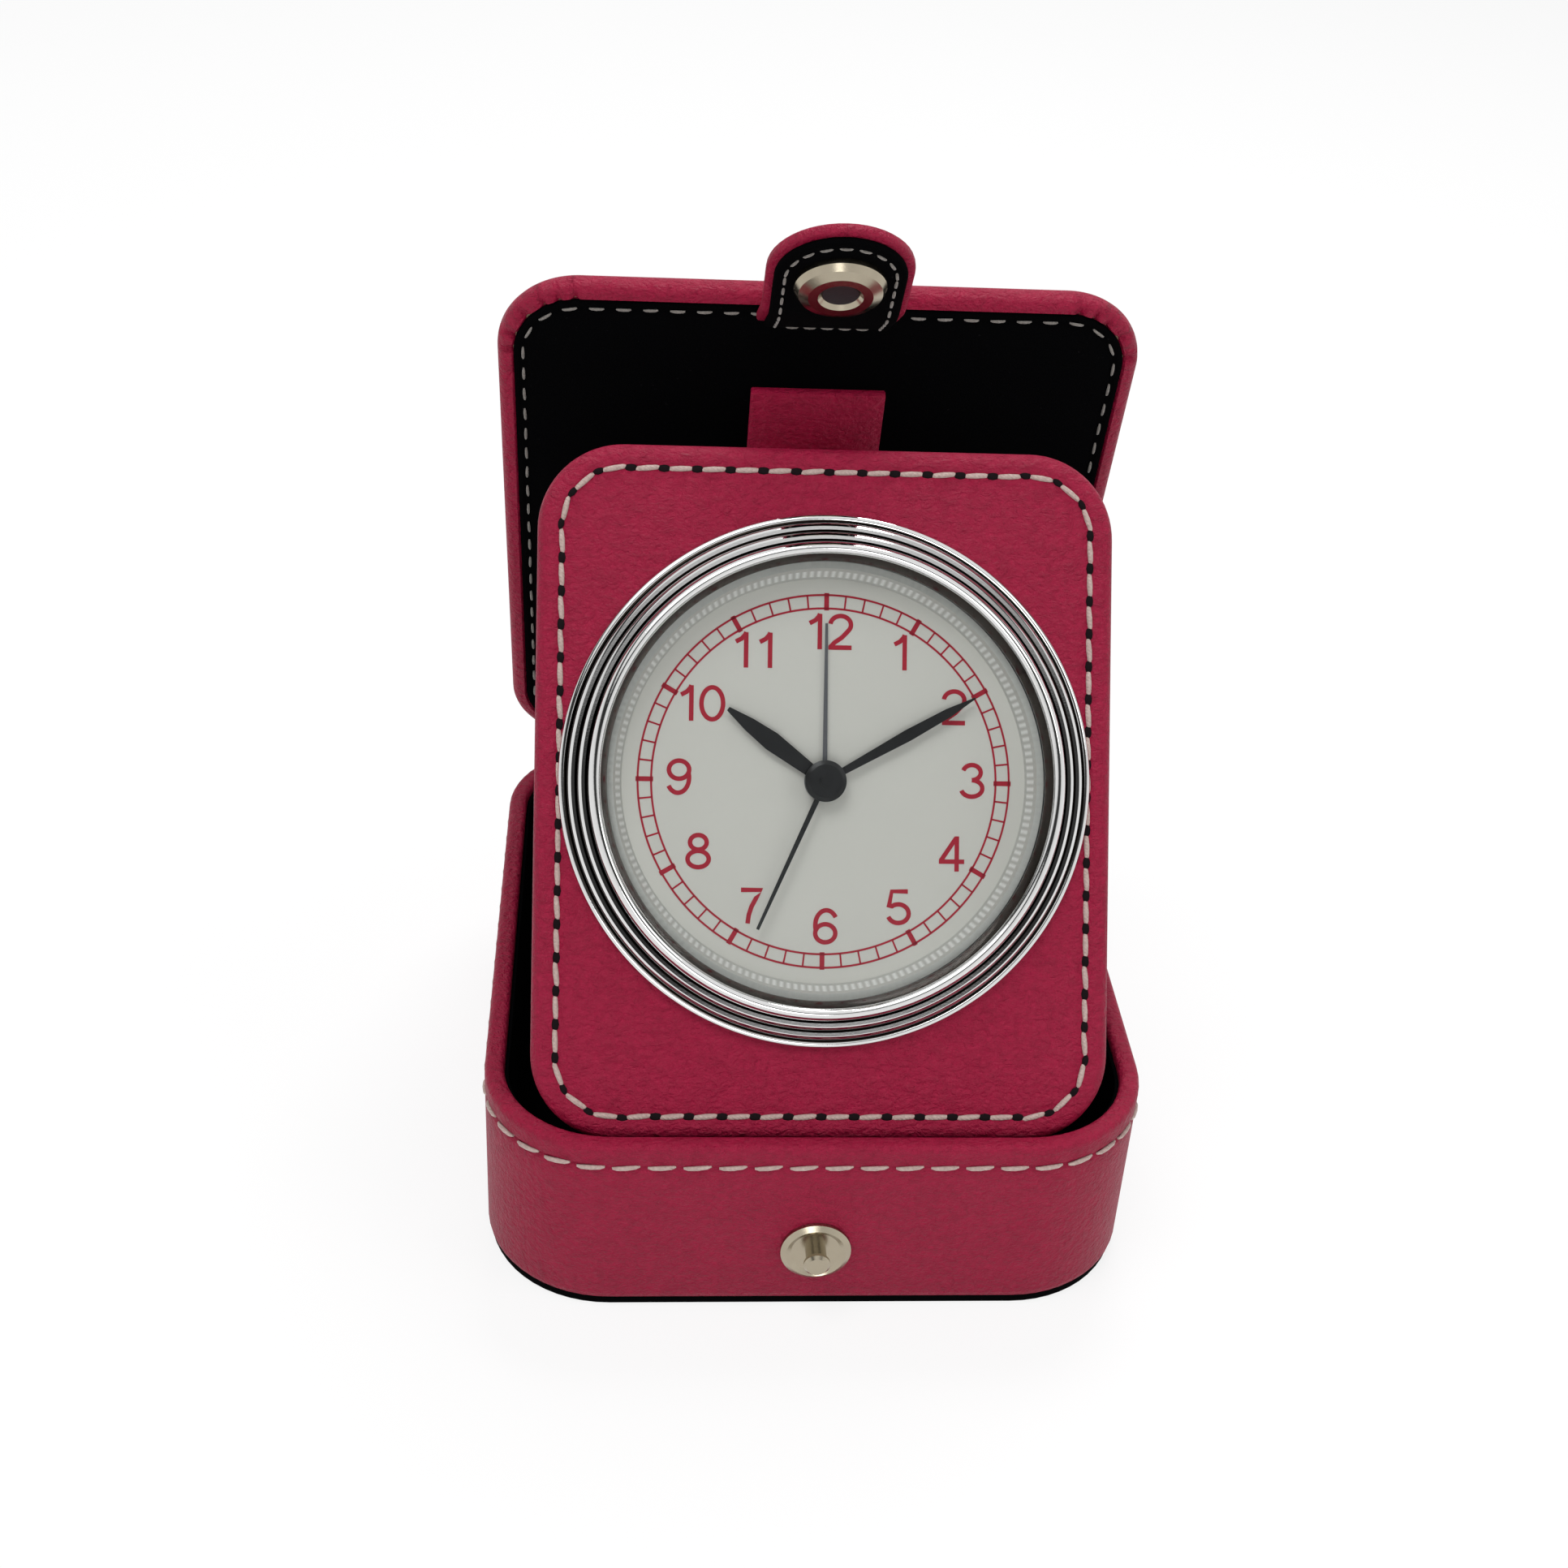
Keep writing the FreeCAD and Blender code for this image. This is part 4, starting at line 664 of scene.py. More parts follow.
cadFinishes = {
    "bezel": chrome, "lens": crystal, "rehaut_ring": rehautPlastic, "dial": dialPaint,
    "snap_stud": nickel, "stud_rivet": nickel, "snap_socket": nickel, "snap_cap": nickel,
    "clock_can": blackPlastic, "clamp_ring": blackPlastic, "back_cover": blackPlastic,
    "battery_cover": blackPlastic, "alarm_switch": blackPlastic, "time_knob": blackPlastic,
    "alarm_knob": blackPlastic, "grip_ring": blackRubber,
    "hour_hand": blackPaint, "minute_hand": blackPaint, "second_hand": blackPaint,
    "hand_cap": blackPaint, "alarm_hand": greyPaint,
    "movement_plate": whitePlastic, "movement_housing": whitePlastic, "motion_wheel": whitePlastic,
    "hour_wheel": whitePlastic, "alarm_wheel": whitePlastic, "second_wheel": whitePlastic,
    "step_wheel": whitePlastic, "centre_wheel": yellowBrass, "cannon_pinion": yellowBrass,
    "third_wheel": yellowBrass, "battery_contact": yellowBrass, "sounder": yellowBrass,
    "rotor": darkMagnet, "stator": plainSteel, "cover_screws": plainSteel, "battery": plainSteel,
    "quartz_crystal": plainSteel, "coil": copperWire, "circuit_board": greenBoard,
    "tray_board": pressedCard, "lid_board": pressedCard, "panel_board": pressedCard,
}
for nodeName, finish in cadFinishes.items():
    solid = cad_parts[nodeName]
    for materialSlot in solid.material_slots:
        materialSlot.material = finish
print("packed solids dressed")


# Camera: found from the photograph's edges
view = {"focal": 49.11, "sensor": 36.0, "place": (-3.3877, -239.7185, 200.6977),
        "yaw": 5.0623, "pitch": 32.3615, "roll": 3.5104}
cameraData = bpy.data.cameras.new("camera")
cameraData.lens = view["focal"]
cameraData.sensor_width = view["sensor"]
cameraData.clip_start = 0.01
camera = bpy.data.objects.new("camera", cameraData)
bpy.context.collection.objects.link(camera)
pitch, roll = math.radians(view["pitch"]), math.radians(view["roll"])
forward = Vector((0, math.cos(pitch), -math.sin(pitch)))
upward = Vector((0, math.sin(pitch), math.cos(pitch)))
sideways = Vector((1, 0, 0))
rolledSide = sideways * math.cos(roll) + upward * math.sin(roll)
rolledUp = upward * math.cos(roll) - sideways * math.sin(roll)
yaw = Matrix.Rotation(-math.radians(view["yaw"]), 3, "Z")
pose = Matrix((yaw @ rolledSide, yaw @ rolledUp, yaw @ -forward)).transposed().to_4x4()
pose.translation = yaw @ (Vector(view["place"]) * mm)
camera.matrix_world = pose
bpy.context.scene.camera = camera


# Tray
tray = {"width": 82.9, "length": 92.0, "height": 26.4, "corner": 16.0, "foot": 0.9,
        "footRound": 1.3, "wall": 2.5, "roll": 1.15, "well": 3.1, "loops": (8.0, 15.0, 20.0)}
groove = {"drop": 3.2, "half": 0.6, "depth": 0.25, "shell": 1.4}
trayLeather = roundedPlate("trayLeather", tray["width"], tray["length"], tray["corner"],
                           tray["foot"], tray["height"])
insetTop(trayLeather, tray["height"], [(tray["wall"], 0)])
editStart(trayLeather)
pickFaces(trayLeather, lambda c, n: abs(c.z - tray["height"]) < 0.01 and n.z > 0.9
          and abs(c.x) < 1 and abs(c.y) < 1)
lift(tray["well"] - tray["height"])
editEnd()
bevelRing(trayLeather, tray["height"], tray["roll"], 5)
bevelRing(trayLeather, tray["foot"], tray["footRound"], 4)
grooveLevel = tray["height"] - groove["drop"]
for rise in (*tray["loops"], grooveLevel - groove["half"], grooveLevel, grooveLevel + groove["half"]):
    cutAcross(trayLeather, (0, 0, rise * mm), (0, 0, 1))
for vertex in trayLeather.data.vertices:  # the thread pulls a shallow groove into the outer wall
    x, y, z = vertex.co / mm
    far = math.hypot(max(abs(x) - tray["width"] / 2 + tray["corner"], 0),
                     max(abs(y) - tray["length"] / 2 + tray["corner"], 0))
    if far > tray["corner"] - groove["shell"] and abs(z - grooveLevel) < 0.05:
        vertex.co.x *= 1 - groove["depth"] / max(abs(x), 10)
        vertex.co.y *= 1 - groove["depth"] / max(abs(y), 10)
smooth(trayLeather, 50)
finishPiece(trayLeather, "tray", pinkLeather, ["tray_wrap"])

trayCloth = {"thickness": 0.5, "floor": 3.12, "drop": 1.3, "round": 1.0, "tuck": 0.05}
inner = tray["wall"] - trayCloth["tuck"]
trayLining = roundedPlate("trayLining", tray["width"] - 2 * inner, tray["length"] - 2 * inner,
                          tray["corner"] - inner, trayCloth["floor"],
                          tray["height"] - trayCloth["drop"])
editStart(trayLining)
pickFaces(trayLining, lambda c, n: n.z > 0.9)
bpy.ops.mesh.delete(type="FACE")
editEnd()
bevelRing(trayLining, trayCloth["floor"], trayCloth["round"], 3)
applyModifier(trayLining, "SOLIDIFY", thickness=trayCloth["thickness"] * mm, offset=-1.0)
smooth(trayLining, 50)
finishPiece(trayLining, "tray", blackVelour, ["tray_lining"])

pad = {"inset": 0.4, "rise": 0.7, "round": 0.35}
basePad = roundedPlate("basePad", tray["width"] - 2 * pad["inset"], tray["length"] - 2 * pad["inset"],
                       tray["corner"] - pad["inset"], 0.0, tray["foot"] + pad["rise"])
bevelRing(basePad, 0.0, pad["round"], 2)
smooth(basePad, 50)
finishPiece(basePad, "tray", blackVelour, ["base_pad"])

traySewing = {"pitch": 4.3, "length": 3.4, "thread": 0.31, "lean": 5}
matrices = []
for x, y, heading in walkRounded(tray["width"], tray["length"], tray["corner"], traySewing["pitch"]):
    # the stitches lie on the wall and face outward
    wall = Matrix.Rotation(heading, 4, "Z") @ Matrix.Rotation(math.pi / 2, 4, "X")
    lean = Matrix.Rotation(math.radians(traySewing["lean"] + dice.uniform(-2, 2)), 4, "Z")
    matrices.append(Matrix.Translation((x * mm, y * mm, grooveLevel * mm)) @ wall @ lean)
trayStitches = copyTo("trayStitches", makeStitch(
    "trayStitches", traySewing["length"], traySewing["thread"]), matrices)
finishPiece(trayStitches, "tray", pinkThread)
print("tray made")


# Panel
panel = {"width": 70.9, "length": 84.8, "corner": 10.5, "thickness": 3.5, "edge": 1.5,
         "backEdge": 1.2, "seam": 3.0, "hole": 28.6, "ditch": 0.55, "rim": 0.10, "sunk": -0.32,
         "rise": 0.20, "slope": 1.2, "crown": 0.06}
mid = panel["length"] / 2
panelSkin = roundedPlate("panelSkin", panel["width"], panel["length"], panel["corner"],
                         -panel["thickness"], 0.0, mid, 18)
bevelRing(panelSkin, 0.0, panel["edge"], 6)
bevelRing(panelSkin, -panel["thickness"], panel["backEdge"], 4)
insetTop(panelSkin, 0.0, [
    (panel["seam"] - panel["edge"] - panel["ditch"], panel["rim"]), (panel["ditch"], panel["sunk"]),
    (panel["ditch"], panel["rise"]), (panel["slope"], panel["crown"])])
cutHole(panelSkin, panel["hole"], (0, dialHeight), -panel["thickness"] - 1, 1.0)
smooth(panelSkin, 50)
settle(panelSkin, panelMatrix)
finishPiece(panelSkin, "panel", panelLeather, ["panel_wrap"])

backing = {"inset": 4.0, "proud": 0.25, "sunk": 0.2}
panelBacking = roundedPlate("panelBacking", panel["width"] - 2 * backing["inset"],
                            panel["length"] - 2 * backing["inset"],
                            panel["corner"] - backing["inset"],
                            -panel["thickness"] - backing["proud"],
                            -panel["thickness"] + backing["sunk"], mid)
cutHole(panelBacking, panel["hole"], (0, dialHeight), -panel["thickness"] - 1, 1.0)
smooth(panelBacking, 50)
settle(panelBacking, panelMatrix)
finishPiece(panelBacking, "panel", blackVelour, ["panel_backing"])

panelSewing = {"pitch": 4.05, "length": 3.3, "thread": 0.36, "level": -0.06,
               "hole": 0.60, "holeLevel": -0.10}
seam = panel["seam"]
stations = walkRounded(panel["width"] - 2 * seam, panel["length"] - 2 * seam,
                       panel["corner"] - seam, panelSewing["pitch"], mid)
panelStitches = sewRow("panelStitches", stations, panelSewing["length"], panelSewing["thread"],
                       panelMatrix, panelSewing["level"])
finishPiece(panelStitches, "panel", pinkThread)
panelHoleShades = pierceRow("panelHoleShades", stations, panelSewing["pitch"], panelSewing["hole"],
                       panelMatrix, panelSewing["holeLevel"])
finishPiece(panelHoleShades, "panel", needleHoleShade)
print("panel made")


# Lid
lid = {"width": 82.9, "low": 1.3, "high": 86.9, "corner": 10.6, "thickness": 3.4, "edge": 1.5,
       "backEdge": 1.4, "border": 2.1, "ditch": 0.3, "rim": 0.05, "sunk": -0.45}
gather = {"depth": 0.6, "fade": 1.6, "least": 0.15, "folds": 21.0, "sway": 1.4, "swayFolds": 5.0,
          "shift": 0.11, "lowest": -1.6}
mid = (lid["low"] + lid["high"]) / 2
span = lid["high"] - lid["low"]
lidLeather = makeLeather("lidLeather", lidMatrix, cornerPleats(
    lid["width"] / 2 - lid["corner"], lid["high"] - lid["corner"], lid["corner"]))
lidSkin = roundedPlate("lidSkin", lid["width"], span, lid["corner"], -lid["thickness"], 0.0, mid, 44)
bevelRing(lidSkin, 0.0, lid["edge"], 6)
bevelRing(lidSkin, -lid["thickness"], lid["backEdge"], 5)
insetTop(lidSkin, 0.0, [
    (lid["border"] - lid["edge"] - lid["ditch"], lid["rim"]), (lid["ditch"], lid["sunk"])])
for vertex in lidSkin.data.vertices:  # the leather gathers in folds round the top corners
    x, y, z = vertex.co / mm
    dx, dy = abs(x) - lid["width"] / 2 + lid["corner"], y - lid["high"] + lid["corner"]
    if dx > 0 and dy > 0 and z > gather["lowest"]:
        angle = math.atan2(dy, dx) + (gather["shift"] if x > 0 else 0.0)
        sway = gather["sway"] * math.sin(angle * gather["swayFolds"])
        fold = 0.5 + 0.5 * math.sin(angle * gather["folds"] + sway)
        depth = min(max((lid["corner"] - math.hypot(dx, dy)) / gather["fade"], gather["least"]), 1.0)
        vertex.co.z -= gather["depth"] * fold ** 3 * depth * mm
smooth(lidSkin, 50)
settle(lidSkin, lidMatrix)
finishPiece(lidSkin, "lid", lidLeather, ["lid_wrap"])

lidCloth = {"thickness": 0.5, "edge": 0.3, "seam": 1.2, "ditch": 0.5, "sunk": -0.22,
            "slope": 0.6, "rise": 0.2}
border = lid["border"]
lidLining = roundedPlate("lidLining", lid["width"] - 2 * border, span - 2 * border,
                         lid["corner"] - border, -lidCloth["thickness"], 0.0, mid, 20)
bevelRing(lidLining, 0.0, lidCloth["edge"], 3)
insetTop(lidLining, 0.0, [
    (lidCloth["seam"] - lidCloth["edge"] - lidCloth["ditch"], 0.0),
    (lidCloth["ditch"], lidCloth["sunk"]), (lidCloth["slope"], lidCloth["rise"])])
smooth(lidLining, 50)
settle(lidLining, lidMatrix)
finishPiece(lidLining, "lid", blackVelour, ["lid_lining"])

lidSewing = {"pitch": 3.4, "length": 1.9, "thread": 0.20, "lean": 0.0,
             "backLength": 2.3, "backThread": 0.26, "proud": 0.03}
seam = border + lidCloth["seam"]
stations = walkRounded(lid["width"] - 2 * seam, span - 2 * seam, lid["corner"] - seam,
                       lidSewing["pitch"], mid)
lidStitches = sewRow("lidStitches", stations, lidSewing["length"], lidSewing["thread"],
                     lidMatrix, 0.0, lidSewing["lean"])
finishPiece(lidStitches, "lid", greyThread)
lidBackStitches = sewRow("lidBackStitches", stations, lidSewing["backLength"],
                         lidSewing["backThread"], lidMatrix, -lid["thickness"] - lidSewing["proud"])
finishPiece(lidBackStitches, "lid", pinkThread)
print("lid made")


# Tab
tab = {"width": 17.6, "length": 27.4, "bendStart": 8.0, "bendEnd": 12.0, "turn": -24.0,
       "leather": 1.3, "lining": 0.9, "inset": 0.9, "liningFoot": 1.0, "bury": 0.1, "round": 0.42,
       "rows": (5.0, 8.0, 8.7, 9.4, 10.0, 10.7, 11.4, 12.0, 15.0)}
tipStart = tab["length"] - tab["width"] / 2


def tabSpot(x, y, level):
    # a place on the bent tab, and its slope there
    start, end = tab["bendStart"], tab["bendEnd"]
    if y <= start:
        return Vector((x, y, level)), 0.0
    turn = math.radians(tab["turn"])
    radius = (end - start) / turn
    slope = turn * min((y - start) / (end - start), 1.0)
    beyond = max(y - end, 0.0)
    return Vector((
        x, start + (radius - level) * math.sin(slope) + beyond * math.cos(slope),
        radius - (radius - level) * math.cos(slope) + beyond * math.sin(slope))), slope


def tabPlate(name, inset, low, high, foot=0.0):
    half = tab["width"] / 2 - inset
    thing = blankPiece(name)
    bm = bmesh.new()
    grid = [[bm.verts.new((x * mm, y * mm, low * mm)) for x in (-half, -half / 3, half / 3, half)]
            for y in (foot, *tab["rows"], tipStart)]
    for lower, upper in zip(grid, grid[1:]):
        for k in range(3):
            bm.faces.new((lower[k], lower[k + 1], upper[k + 1], upper[k]))
    angles = [math.pi * k / 24 for k in range(1, 24)]
    tip = [bm.verts.new((half * math.cos(a) * mm, (tipStart + half * math.sin(a)) * mm, low * mm))
           for a in angles]
    bm.faces.new(grid[-1] + tip)
    bm.to_mesh(thing.data)
    bm.free()
    editAll(thing)
    lift(high - low)
    editEnd()
    fixNormals(thing)
    applyModifier(thing, "BEVEL", width=min(tab["round"], (high - low) * tab["round"]) * mm,
                  segments=3, limit_method="ANGLE", angle_limit=math.radians(50))
    for vertex in thing.data.vertices:
        vertex.co = tabSpot(*(vertex.co / mm))[0] * mm
    smooth(thing, 50)
    settle(thing, tabMatrix)
    return thing


half = tab["leather"] / 2
tabSkin = tabPlate("tabSkin", 0.0, -half, half)
finishPiece(tabSkin, "tab", pinkLeather, ["tab_leather"])
tabLining = tabPlate("tabLining", tab["inset"], half - tab["bury"], half + tab["lining"],
                     tab["liningFoot"])
finishPiece(tabLining, "tab", blackVelour, ["tab_lining"])

tabSewing = {"length": 1.7, "pitch": 2.2, "start": 2.6, "root": 2.0, "seam": 1.3,
             "thread": 0.20, "proud": 0.02, "backThread": 0.24, "backProud": 0.03}
rowHalf = tab["width"] / 2 - tab["inset"] - tabSewing["seam"]
side = [(rowHalf, tabSewing["start"] + tabSewing["pitch"] * k, math.pi / 2) for k in range(8)]
marks = side + [(rowHalf * math.cos(a), tipStart + rowHalf * math.sin(a), a + math.pi / 2)
                for a in [math.pi * (k + 0.5) / 9 for k in range(9)]]
marks += [(-x, y, heading) for x, y, heading in side]
marks += [(tabSewing["pitch"] * k, tabSewing["root"], 0.0) for k in range(-2, 3)]


def sewTab(name, level, thread, material):
    matrices = []
    for x, y, heading in marks:
        spot, slope = tabSpot(x, y, level)
        matrices.append(Matrix.Translation(spot * mm) @ Matrix.Rotation(slope, 4, "X")
                        @ Matrix.Rotation(heading, 4, "Z"))
    row = copyTo(name, makeStitch(name, tabSewing["length"], thread), matrices)
    settle(row, tabMatrix)
    finishPiece(row, "tab", material)


sewTab("tabStitches", half + tab["lining"] + tabSewing["proud"], tabSewing["thread"],
       greyThread)
sewTab("tabBackStitches", -half - tabSewing["backProud"], tabSewing["backThread"],
       pinkThread)
print("tab made")


# Snap socket: a black well in its hole is painted shade for the inside of the hole
snap = {"up": 18.0, "rise": 1.5, "axis": 0.02, "hole": 2.15, "floor": -0.15, "lip": 0.1,
        "dish": 0.6, "dip": -0.05}
spot, slope = tabSpot(0.0, snap["up"], half + tab["lining"] + snap["rise"])
snapShadeWell = latheRing("snapShadeWell", [
    (snap["axis"], snap["floor"]), (snap["hole"], snap["floor"]), (snap["hole"], snap["lip"]),
    (snap["hole"] * snap["dish"], 0.0), (snap["axis"], snap["dip"])], 48)
smooth(snapShadeWell, 40)
settle(snapShadeWell, tabMatrix @ Matrix.Translation(spot * mm) @ Matrix.Rotation(slope, 4, "X"))
finishPiece(snapShadeWell, "tab", blackPlastic)


# Strap and hinge leathers
strap = {"width": 17.6, "thickness": 1.3, "bend": 4.5, "lidTop": 72.0, "lidTurn": 57.0,
         "panelTurn": 68.0, "panelTop": 82.5, "gap": 0.05, "backing": 0.3,
         "loops": 9, "firstLoop": 0.16, "loopStep": 0.04, "hold": 1.0, "short": 0.4}
out = strap["thickness"] / 2 + strap["gap"]
behind = -panel["thickness"] - strap["backing"] - out
corners = [pointAt("lid", strap["lidTop"], out), pointAt("lid", strap["lidTurn"], out),
           pointAt("panel", strap["panelTurn"], behind), pointAt("panel", strap["panelTop"], behind)]
stayStrap = ribbon("stayStrap", [(c.y / mm, c.z / mm) for c in corners], strap["bend"],
                   strap["width"], strap["thickness"], 10)
run = corners[2] - corners[1]
middle = corners[1] + run / 2
along = run.normalized()
for k in range(strap["loops"]):
    cutAcross(stayStrap, corners[1] + run * (strap["firstLoop"] + strap["loopStep"] * k), along)
strapEnd = stayStrap.copy()
strapEnd.data = stayStrap.data.copy()
strapEnd.name = strapEnd.data.name = "strapEnd"
bpy.context.collection.objects.link(strapEnd)
# the strap is cut in two at the middle: stayStrap keeps the half towards the lid, the other half stays
# on the panel
for thing, lidSide in ((stayStrap, True), (strapEnd, False)):
    cutAcross(thing, middle, along, clear_outer=lidSide, clear_inner=not lidSide)
    smooth(thing)
finishPiece(stayStrap, "lid", strapLitLeather, ["stay_strap"])
finishPiece(strapEnd, "panel", strapLitLeather)
stayStrap.parent = None
near = pointAt("lid", strap["lidTurn"], out + strap["hold"])
toPanel = (pointAt("lid", 0.0, 1.0) - pointAt("lid", 0.0, 0.0)).normalized()
far = near + toPanel * ((middle - near).dot(toPanel) - strap["short"] * mm)
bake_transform(stayStrap)

hinges = {"width": 50.0, "thickness": 0.9, "bend": 1.6, "gap": 0.06, "lidRun": (14.8, 23.8),
          "lidStart": -0.5, "lidEnd": 10.3, "panelWall": -43.15, "panelRun": 3.0, "panelEnd": 9.0}
out = hinges["thickness"] / 2 + hinges["gap"]
back = places["lid"]["y"] + out
behind = -lid["thickness"] - out
corners = [(back, level) for level in hinges["lidRun"]]
corners += [(c.y / mm, c.z / mm) for c in (
    pointAt("lid", hinges["lidStart"], behind), pointAt("lid", hinges["lidEnd"], behind))]
lidHinge = ribbon("lidHinge", corners, hinges["bend"], hinges["width"], hinges["thickness"])
finishPiece(lidHinge, "tray", pinkLeather, ["lid_hinge_leather"])
lidHinge.parent = None
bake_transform(lidHinge)

top = pointAt("panel", hinges["panelEnd"], -panel["thickness"] - out)
slope = math.tan(math.radians(places["panel"]["tilt"]))
front = hinges["panelWall"] + out
bendSpot = (front, top.z / mm - (top.y / mm - front) * slope)
corners = [(front, bendSpot[1] - hinges["panelRun"]), bendSpot, (top.y / mm, top.z / mm)]
panelHinge = ribbon("panelHinge", corners, hinges["bend"], hinges["width"], hinges["thickness"])
finishPiece(panelHinge, "tray", pinkLeather, ["panel_hinge_leather"])
panelHinge.parent = None
bendSpot[1] * mm
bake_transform(panelHinge)
print("strap and hinges made")


# Dial print
dial = {"level": -1.57, "thick": 0.015, "numeralHeight": 4.35, "numeralWide": 1.27,
        "stroke": 0.56, "advance": 2.95, "numeralRing": 18.1, "numeralShift": 0.3, "stagger": 0.004,
        "trackOuter": 22.9, "trackInner": 21.25, "line": 0.25, "tick": 0.22, "boldTick": 0.6,
        "boldReach": 0.5}


def arc(x, y, wide, high, first, last, count=20):
    angles = [math.radians(first + (last - first) * k / count) for k in range(count + 1)]
    return [(x + wide * math.cos(a), y + high * math.sin(a)) for a in angles]


# each digit's strokes, one high
digits = {
    "0": [arc(0, 0.5, 0.24, 0.45, 0, 360, 36)],
    "1": [[(-0.16, 0.73), (-0.03, 0.82), (0.045, 0.93), (0.07, 1.0)], [(0.07, 1.0), (0.07, 0.0)]],
    "2": [arc(0.0, 0.70, 0.23, 0.25, 175, -35) + [(0.03, 0.34), (-0.14, 0.19), (-0.23, 0.055)],
          [(-0.27, 0.055), (0.25, 0.055)]],
    "3": [arc(-0.02, 0.735, 0.20, 0.215, 165, -90), arc(-0.02, 0.285, 0.24, 0.235, 90, -165)],
    "4": [[(0.10, 0.0), (0.10, 1.0)], [(0.08, 0.95), (-0.26, 0.30)], [(-0.30, 0.28), (0.27, 0.28)]],
    "5": [[(0.21, 0.945), (-0.15, 0.945), (-0.215, 0.50)]
          + arc(0.0, 0.315, 0.235, 0.265, 130, -160)],
    "6": [arc(0.01, 0.30, 0.225, 0.255, 0, 360, 30), arc(0.03, 0.53, 0.245, 0.42, 205, 32)],
    "7": [[(-0.24, 0.945), (0.23, 0.945), (0.10, 0.72), (0.0, 0.48), (-0.06, 0.24), (-0.085, 0.0)]],
    "8": [arc(0, 0.745, 0.185, 0.205, 0, 360, 28), arc(0, 0.275, 0.235, 0.23, 0, 360, 30)],
}
digits["9"] = [[(-x, 1 - y) for x, y in stroke] for stroke in digits["6"]]


def drawStroke(points, half, wide, high, level, thick):
    # a flat band of even width along the points
    band = blankPiece("stroke")
    bm = bmesh.new()
    closed = math.dist(points[0], points[-1]) < 0.001
    pairs = []
    for k, (x, y) in enumerate(points):
        before = points[k - 1] if k else points[-2 if closed else 0]
        after = points[k + 1] if k + 1 < len(points) else points[1 if closed else -1]
        dx, dy = (after[0] - before[0]) * wide, (after[1] - before[1]) * high
        size = math.hypot(dx, dy)
        nx, ny = -dy / size * half, dx / size * half
        pairs.append([bm.verts.new((
            (x * wide + side * nx) * mm, (y * high + side * ny) * mm, level * mm)) for side in (1, -1)])
    for (a, b), (c, d) in zip(pairs, pairs[1:]):
        bm.faces.new((a, b, d, c))
    bm.to_mesh(band.data)
    bm.free()
    editAll(band)
    lift(thick)
    editEnd()
    fixNormals(band)
    return band


prints = []
for hour in range(1, 13):
    a = math.radians(90 - 30 * hour)
    label = str(hour)
    for index, digit in enumerate(label):
        shift = (index - (len(label) - 1) / 2) * dial["advance"] + dial["numeralShift"]
        drop = dial["numeralShift"] - dial["numeralHeight"] / 2
        for number, stroke in enumerate(digits[digit]):
            band = drawStroke(stroke, dial["stroke"] / 2, dial["numeralHeight"] * dial["numeralWide"],
                              dial["numeralHeight"], dial["stagger"] * number, dial["thick"])
            band.data.transform(Matrix.Translation((
                (dial["numeralRing"] * math.cos(a) + shift) * mm,
                (dial["numeralRing"] * math.sin(a) + drop) * mm, dial["level"] * mm)))
            prints.append(band)
for radius in (dial["trackOuter"], dial["trackInner"]):
    inside, outside = radius - dial["line"] / 2, radius + dial["line"] / 2
    lower, upper = dial["level"] - dial["thick"] / 2, dial["level"] + dial["thick"] / 2
    prints.append(latheRing("trackLine", [
        (inside, lower), (outside, lower), (outside, upper), (inside, upper)], 240))
trackMiddle = (dial["trackOuter"] + dial["trackInner"]) / 2
for minute in range(60):
    bold = minute % 5 == 0
    wide = dial["boldTick"] if bold else dial["tick"]
    reach = dial["trackOuter"] - dial["trackInner"] + (dial["boldReach"] if bold else 0)
    clearSelection()
    bpy.ops.mesh.primitive_cube_add(size=1, location=(0, 0, 0))
    tick = bpy.context.object
    tick.data.transform(Matrix.Diagonal((wide * mm, reach * mm, dial["thick"] * mm, 1)))
    tick.data.transform(Matrix.Rotation(math.radians(6 * minute), 4, "Z")
                        @ Matrix.Translation((0, trackMiddle * mm, dial["level"] * mm)))
    prints.append(tick)
dialPrint = joinAll(prints, "dialPrint")
settle(dialPrint, dialMatrix)
finishPiece(dialPrint, "panel", redPrint)
print("dial printed")


# Bezel: a flange and three beads, turned on one outline of (radius, level)
bezel = {"coneStart": 27.45, "coneLevel": 2.4, "grooves": (31.52, 30.27, 29.02),
         "grooveLevel": 0.8, "shade": 0.21, "round": 0.07,
         "beads": [(32.5, 0.9), (32.35, 1.15), (32.0, 1.3), (31.7, 1.2), (31.55, 0.95),
                   (31.45, 1.6), (31.25, 2.1), (30.9, 2.35), (30.5, 2.3), (30.3, 2.0),
                   (30.2, 2.6), (30.0, 3.15), (29.65, 3.4), (29.25, 3.35), (29.05, 3.0),
                   (28.95, 3.7), (28.75, 4.4), (28.35, 4.9), (27.95, 5.0), (27.6, 4.85), (27.35, 4.4)],
         "seat": [(26.6, 3.0), (26.6, 2.48), (27.3, 2.48), (27.3, 1.3), (30.4, 1.3),
                  (30.4, 0.05), (32.5, 0.05)]}
bezelRings = latheRing("bezelRings", bezel["beads"] + bezel["seat"], 256)
applyModifier(bezelRings, "BEVEL", width=bezel["round"] * mm, segments=2,
              limit_method="ANGLE", angle_limit=math.radians(60))
smooth(bezelRings, 42)
finishPiece(bezelRings, "panel", chrome, ["bezel"])
bezelRings.data.materials.append(paintedShadeChrome)
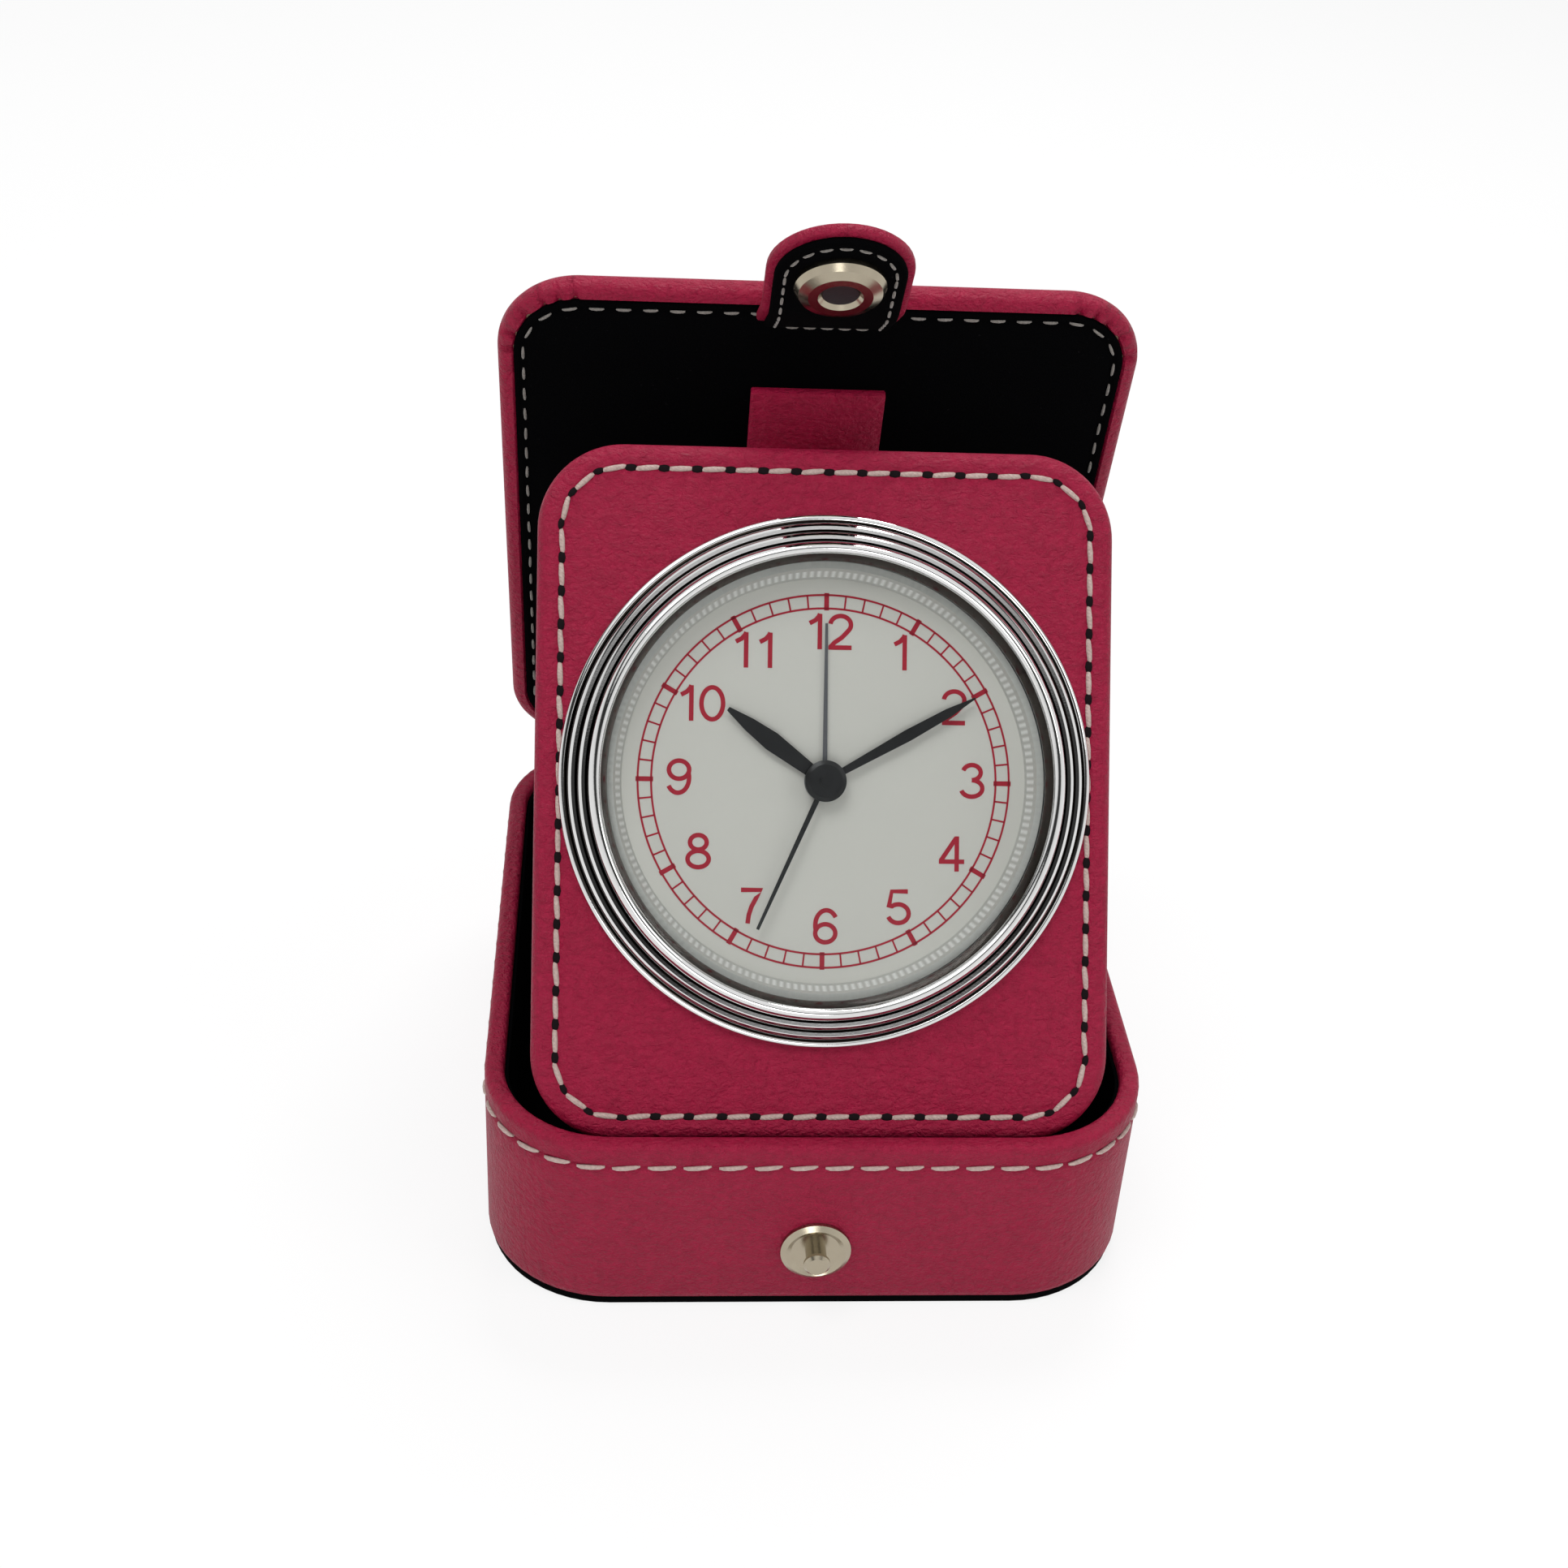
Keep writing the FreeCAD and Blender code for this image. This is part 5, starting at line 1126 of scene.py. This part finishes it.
# painted shade and painted reflection: faces in the groove bottoms and on the bore's cone take the dark
# chrome, standing in for the shade in the grooves and the dark room the cone reflects
for face in bezelRings.data.polygons:
    spot = face.center / mm
    far = math.hypot(spot.x, spot.y)
    cone = far < bezel["coneStart"] and spot.z > bezel["coneLevel"]
    valley = spot.z > bezel["grooveLevel"] and any(
        abs(far - ring) < bezel["shade"] for ring in bezel["grooves"])
    if cone or valley:
        face.material_index = 1
settle(bezelRings, dialMatrix)
print("bezel made")


# Floor, world and lamps
studio = {"floor": 0.88, "glow": 0.82, "fill": 0.36, "aim": (0, 0, 0.05), "tones": [
    (0.0, 1.0), (0.42, 0.85), (0.52, 0.05), (0.63, 0.03), (0.70, 1.0), (1.0, 1.0)]}
clearSelection()
bpy.ops.mesh.primitive_plane_add(size=6, location=(0, 0, 0))
floor = bpy.context.object
floor.name = "floor"
g = newGraph("floorPaint")
shade = g.node("BsdfDiffuse", None, {"Color": (studio["floor"],) * 3 + (1,)})
glow = g.node("Emission", None, {"Color": (1, 1, 1, 1)})
share = g.seenBy("Is Camera Ray", "Is Glossy Ray", "Is Transmission Ray") * studio["glow"]
floor.data.materials.append(g.end(g.node("MixShader", None, {0: share, 1: shade, 2: glow})))

world = bpy.data.worlds.new("studio")
bpy.context.scene.world = world
g = Graph(world)
height = g.split(g.node("TexCoord", out="Generated"))[2]
room = g.node("Background", None, {"Color": g.ramp(height, studio["tones"])})
fill = g.node("Background", None, {"Color": (1, 1, 1, 1), "Strength": studio["fill"]})
white = g.node("Background", None, {"Color": (1, 1, 1, 1), "Strength": 1.0})
lit = g.node("MixShader", None, {0: g.seenBy("Is Glossy Ray"), 1: fill, 2: room})
seen = g.seenBy("Is Camera Ray", "Is Transmission Ray")
g.end(g.node("MixShader", None, {0: seen, 1: lit, 2: white}), "OutputWorld")

lamps = {
    "keyLamp": {"place": (-0.25, -0.25, 0.95), "size": 0.55, "power": 4.1},
    "sideLamp": {"place": (0.6, -0.30, 0.6), "size": 0.45, "power": 1.3},
    "frontLamp": {"place": (-0.1, -0.95, 0.28), "size": 0.4, "power": 1.7},
    "backLamp": {"place": (0.1, 0.45, 0.8), "size": 0.4, "power": 4.2},
}
for name, lamp in lamps.items():
    data = bpy.data.lights.new(name, "AREA")
    data.shape = "DISK"
    data.size = lamp["size"]
    data.energy = lamp["power"]
    light = bpy.data.objects.new(name, data)
    bpy.context.collection.objects.link(light)
    light.location = lamp["place"]
    aim = Vector(studio["aim"]) - Vector(lamp["place"])
    light.rotation_euler = aim.to_track_quat("-Z", "Y").to_euler()
bpy.context.scene.view_settings.view_transform = "Standard"
print("stage lit")
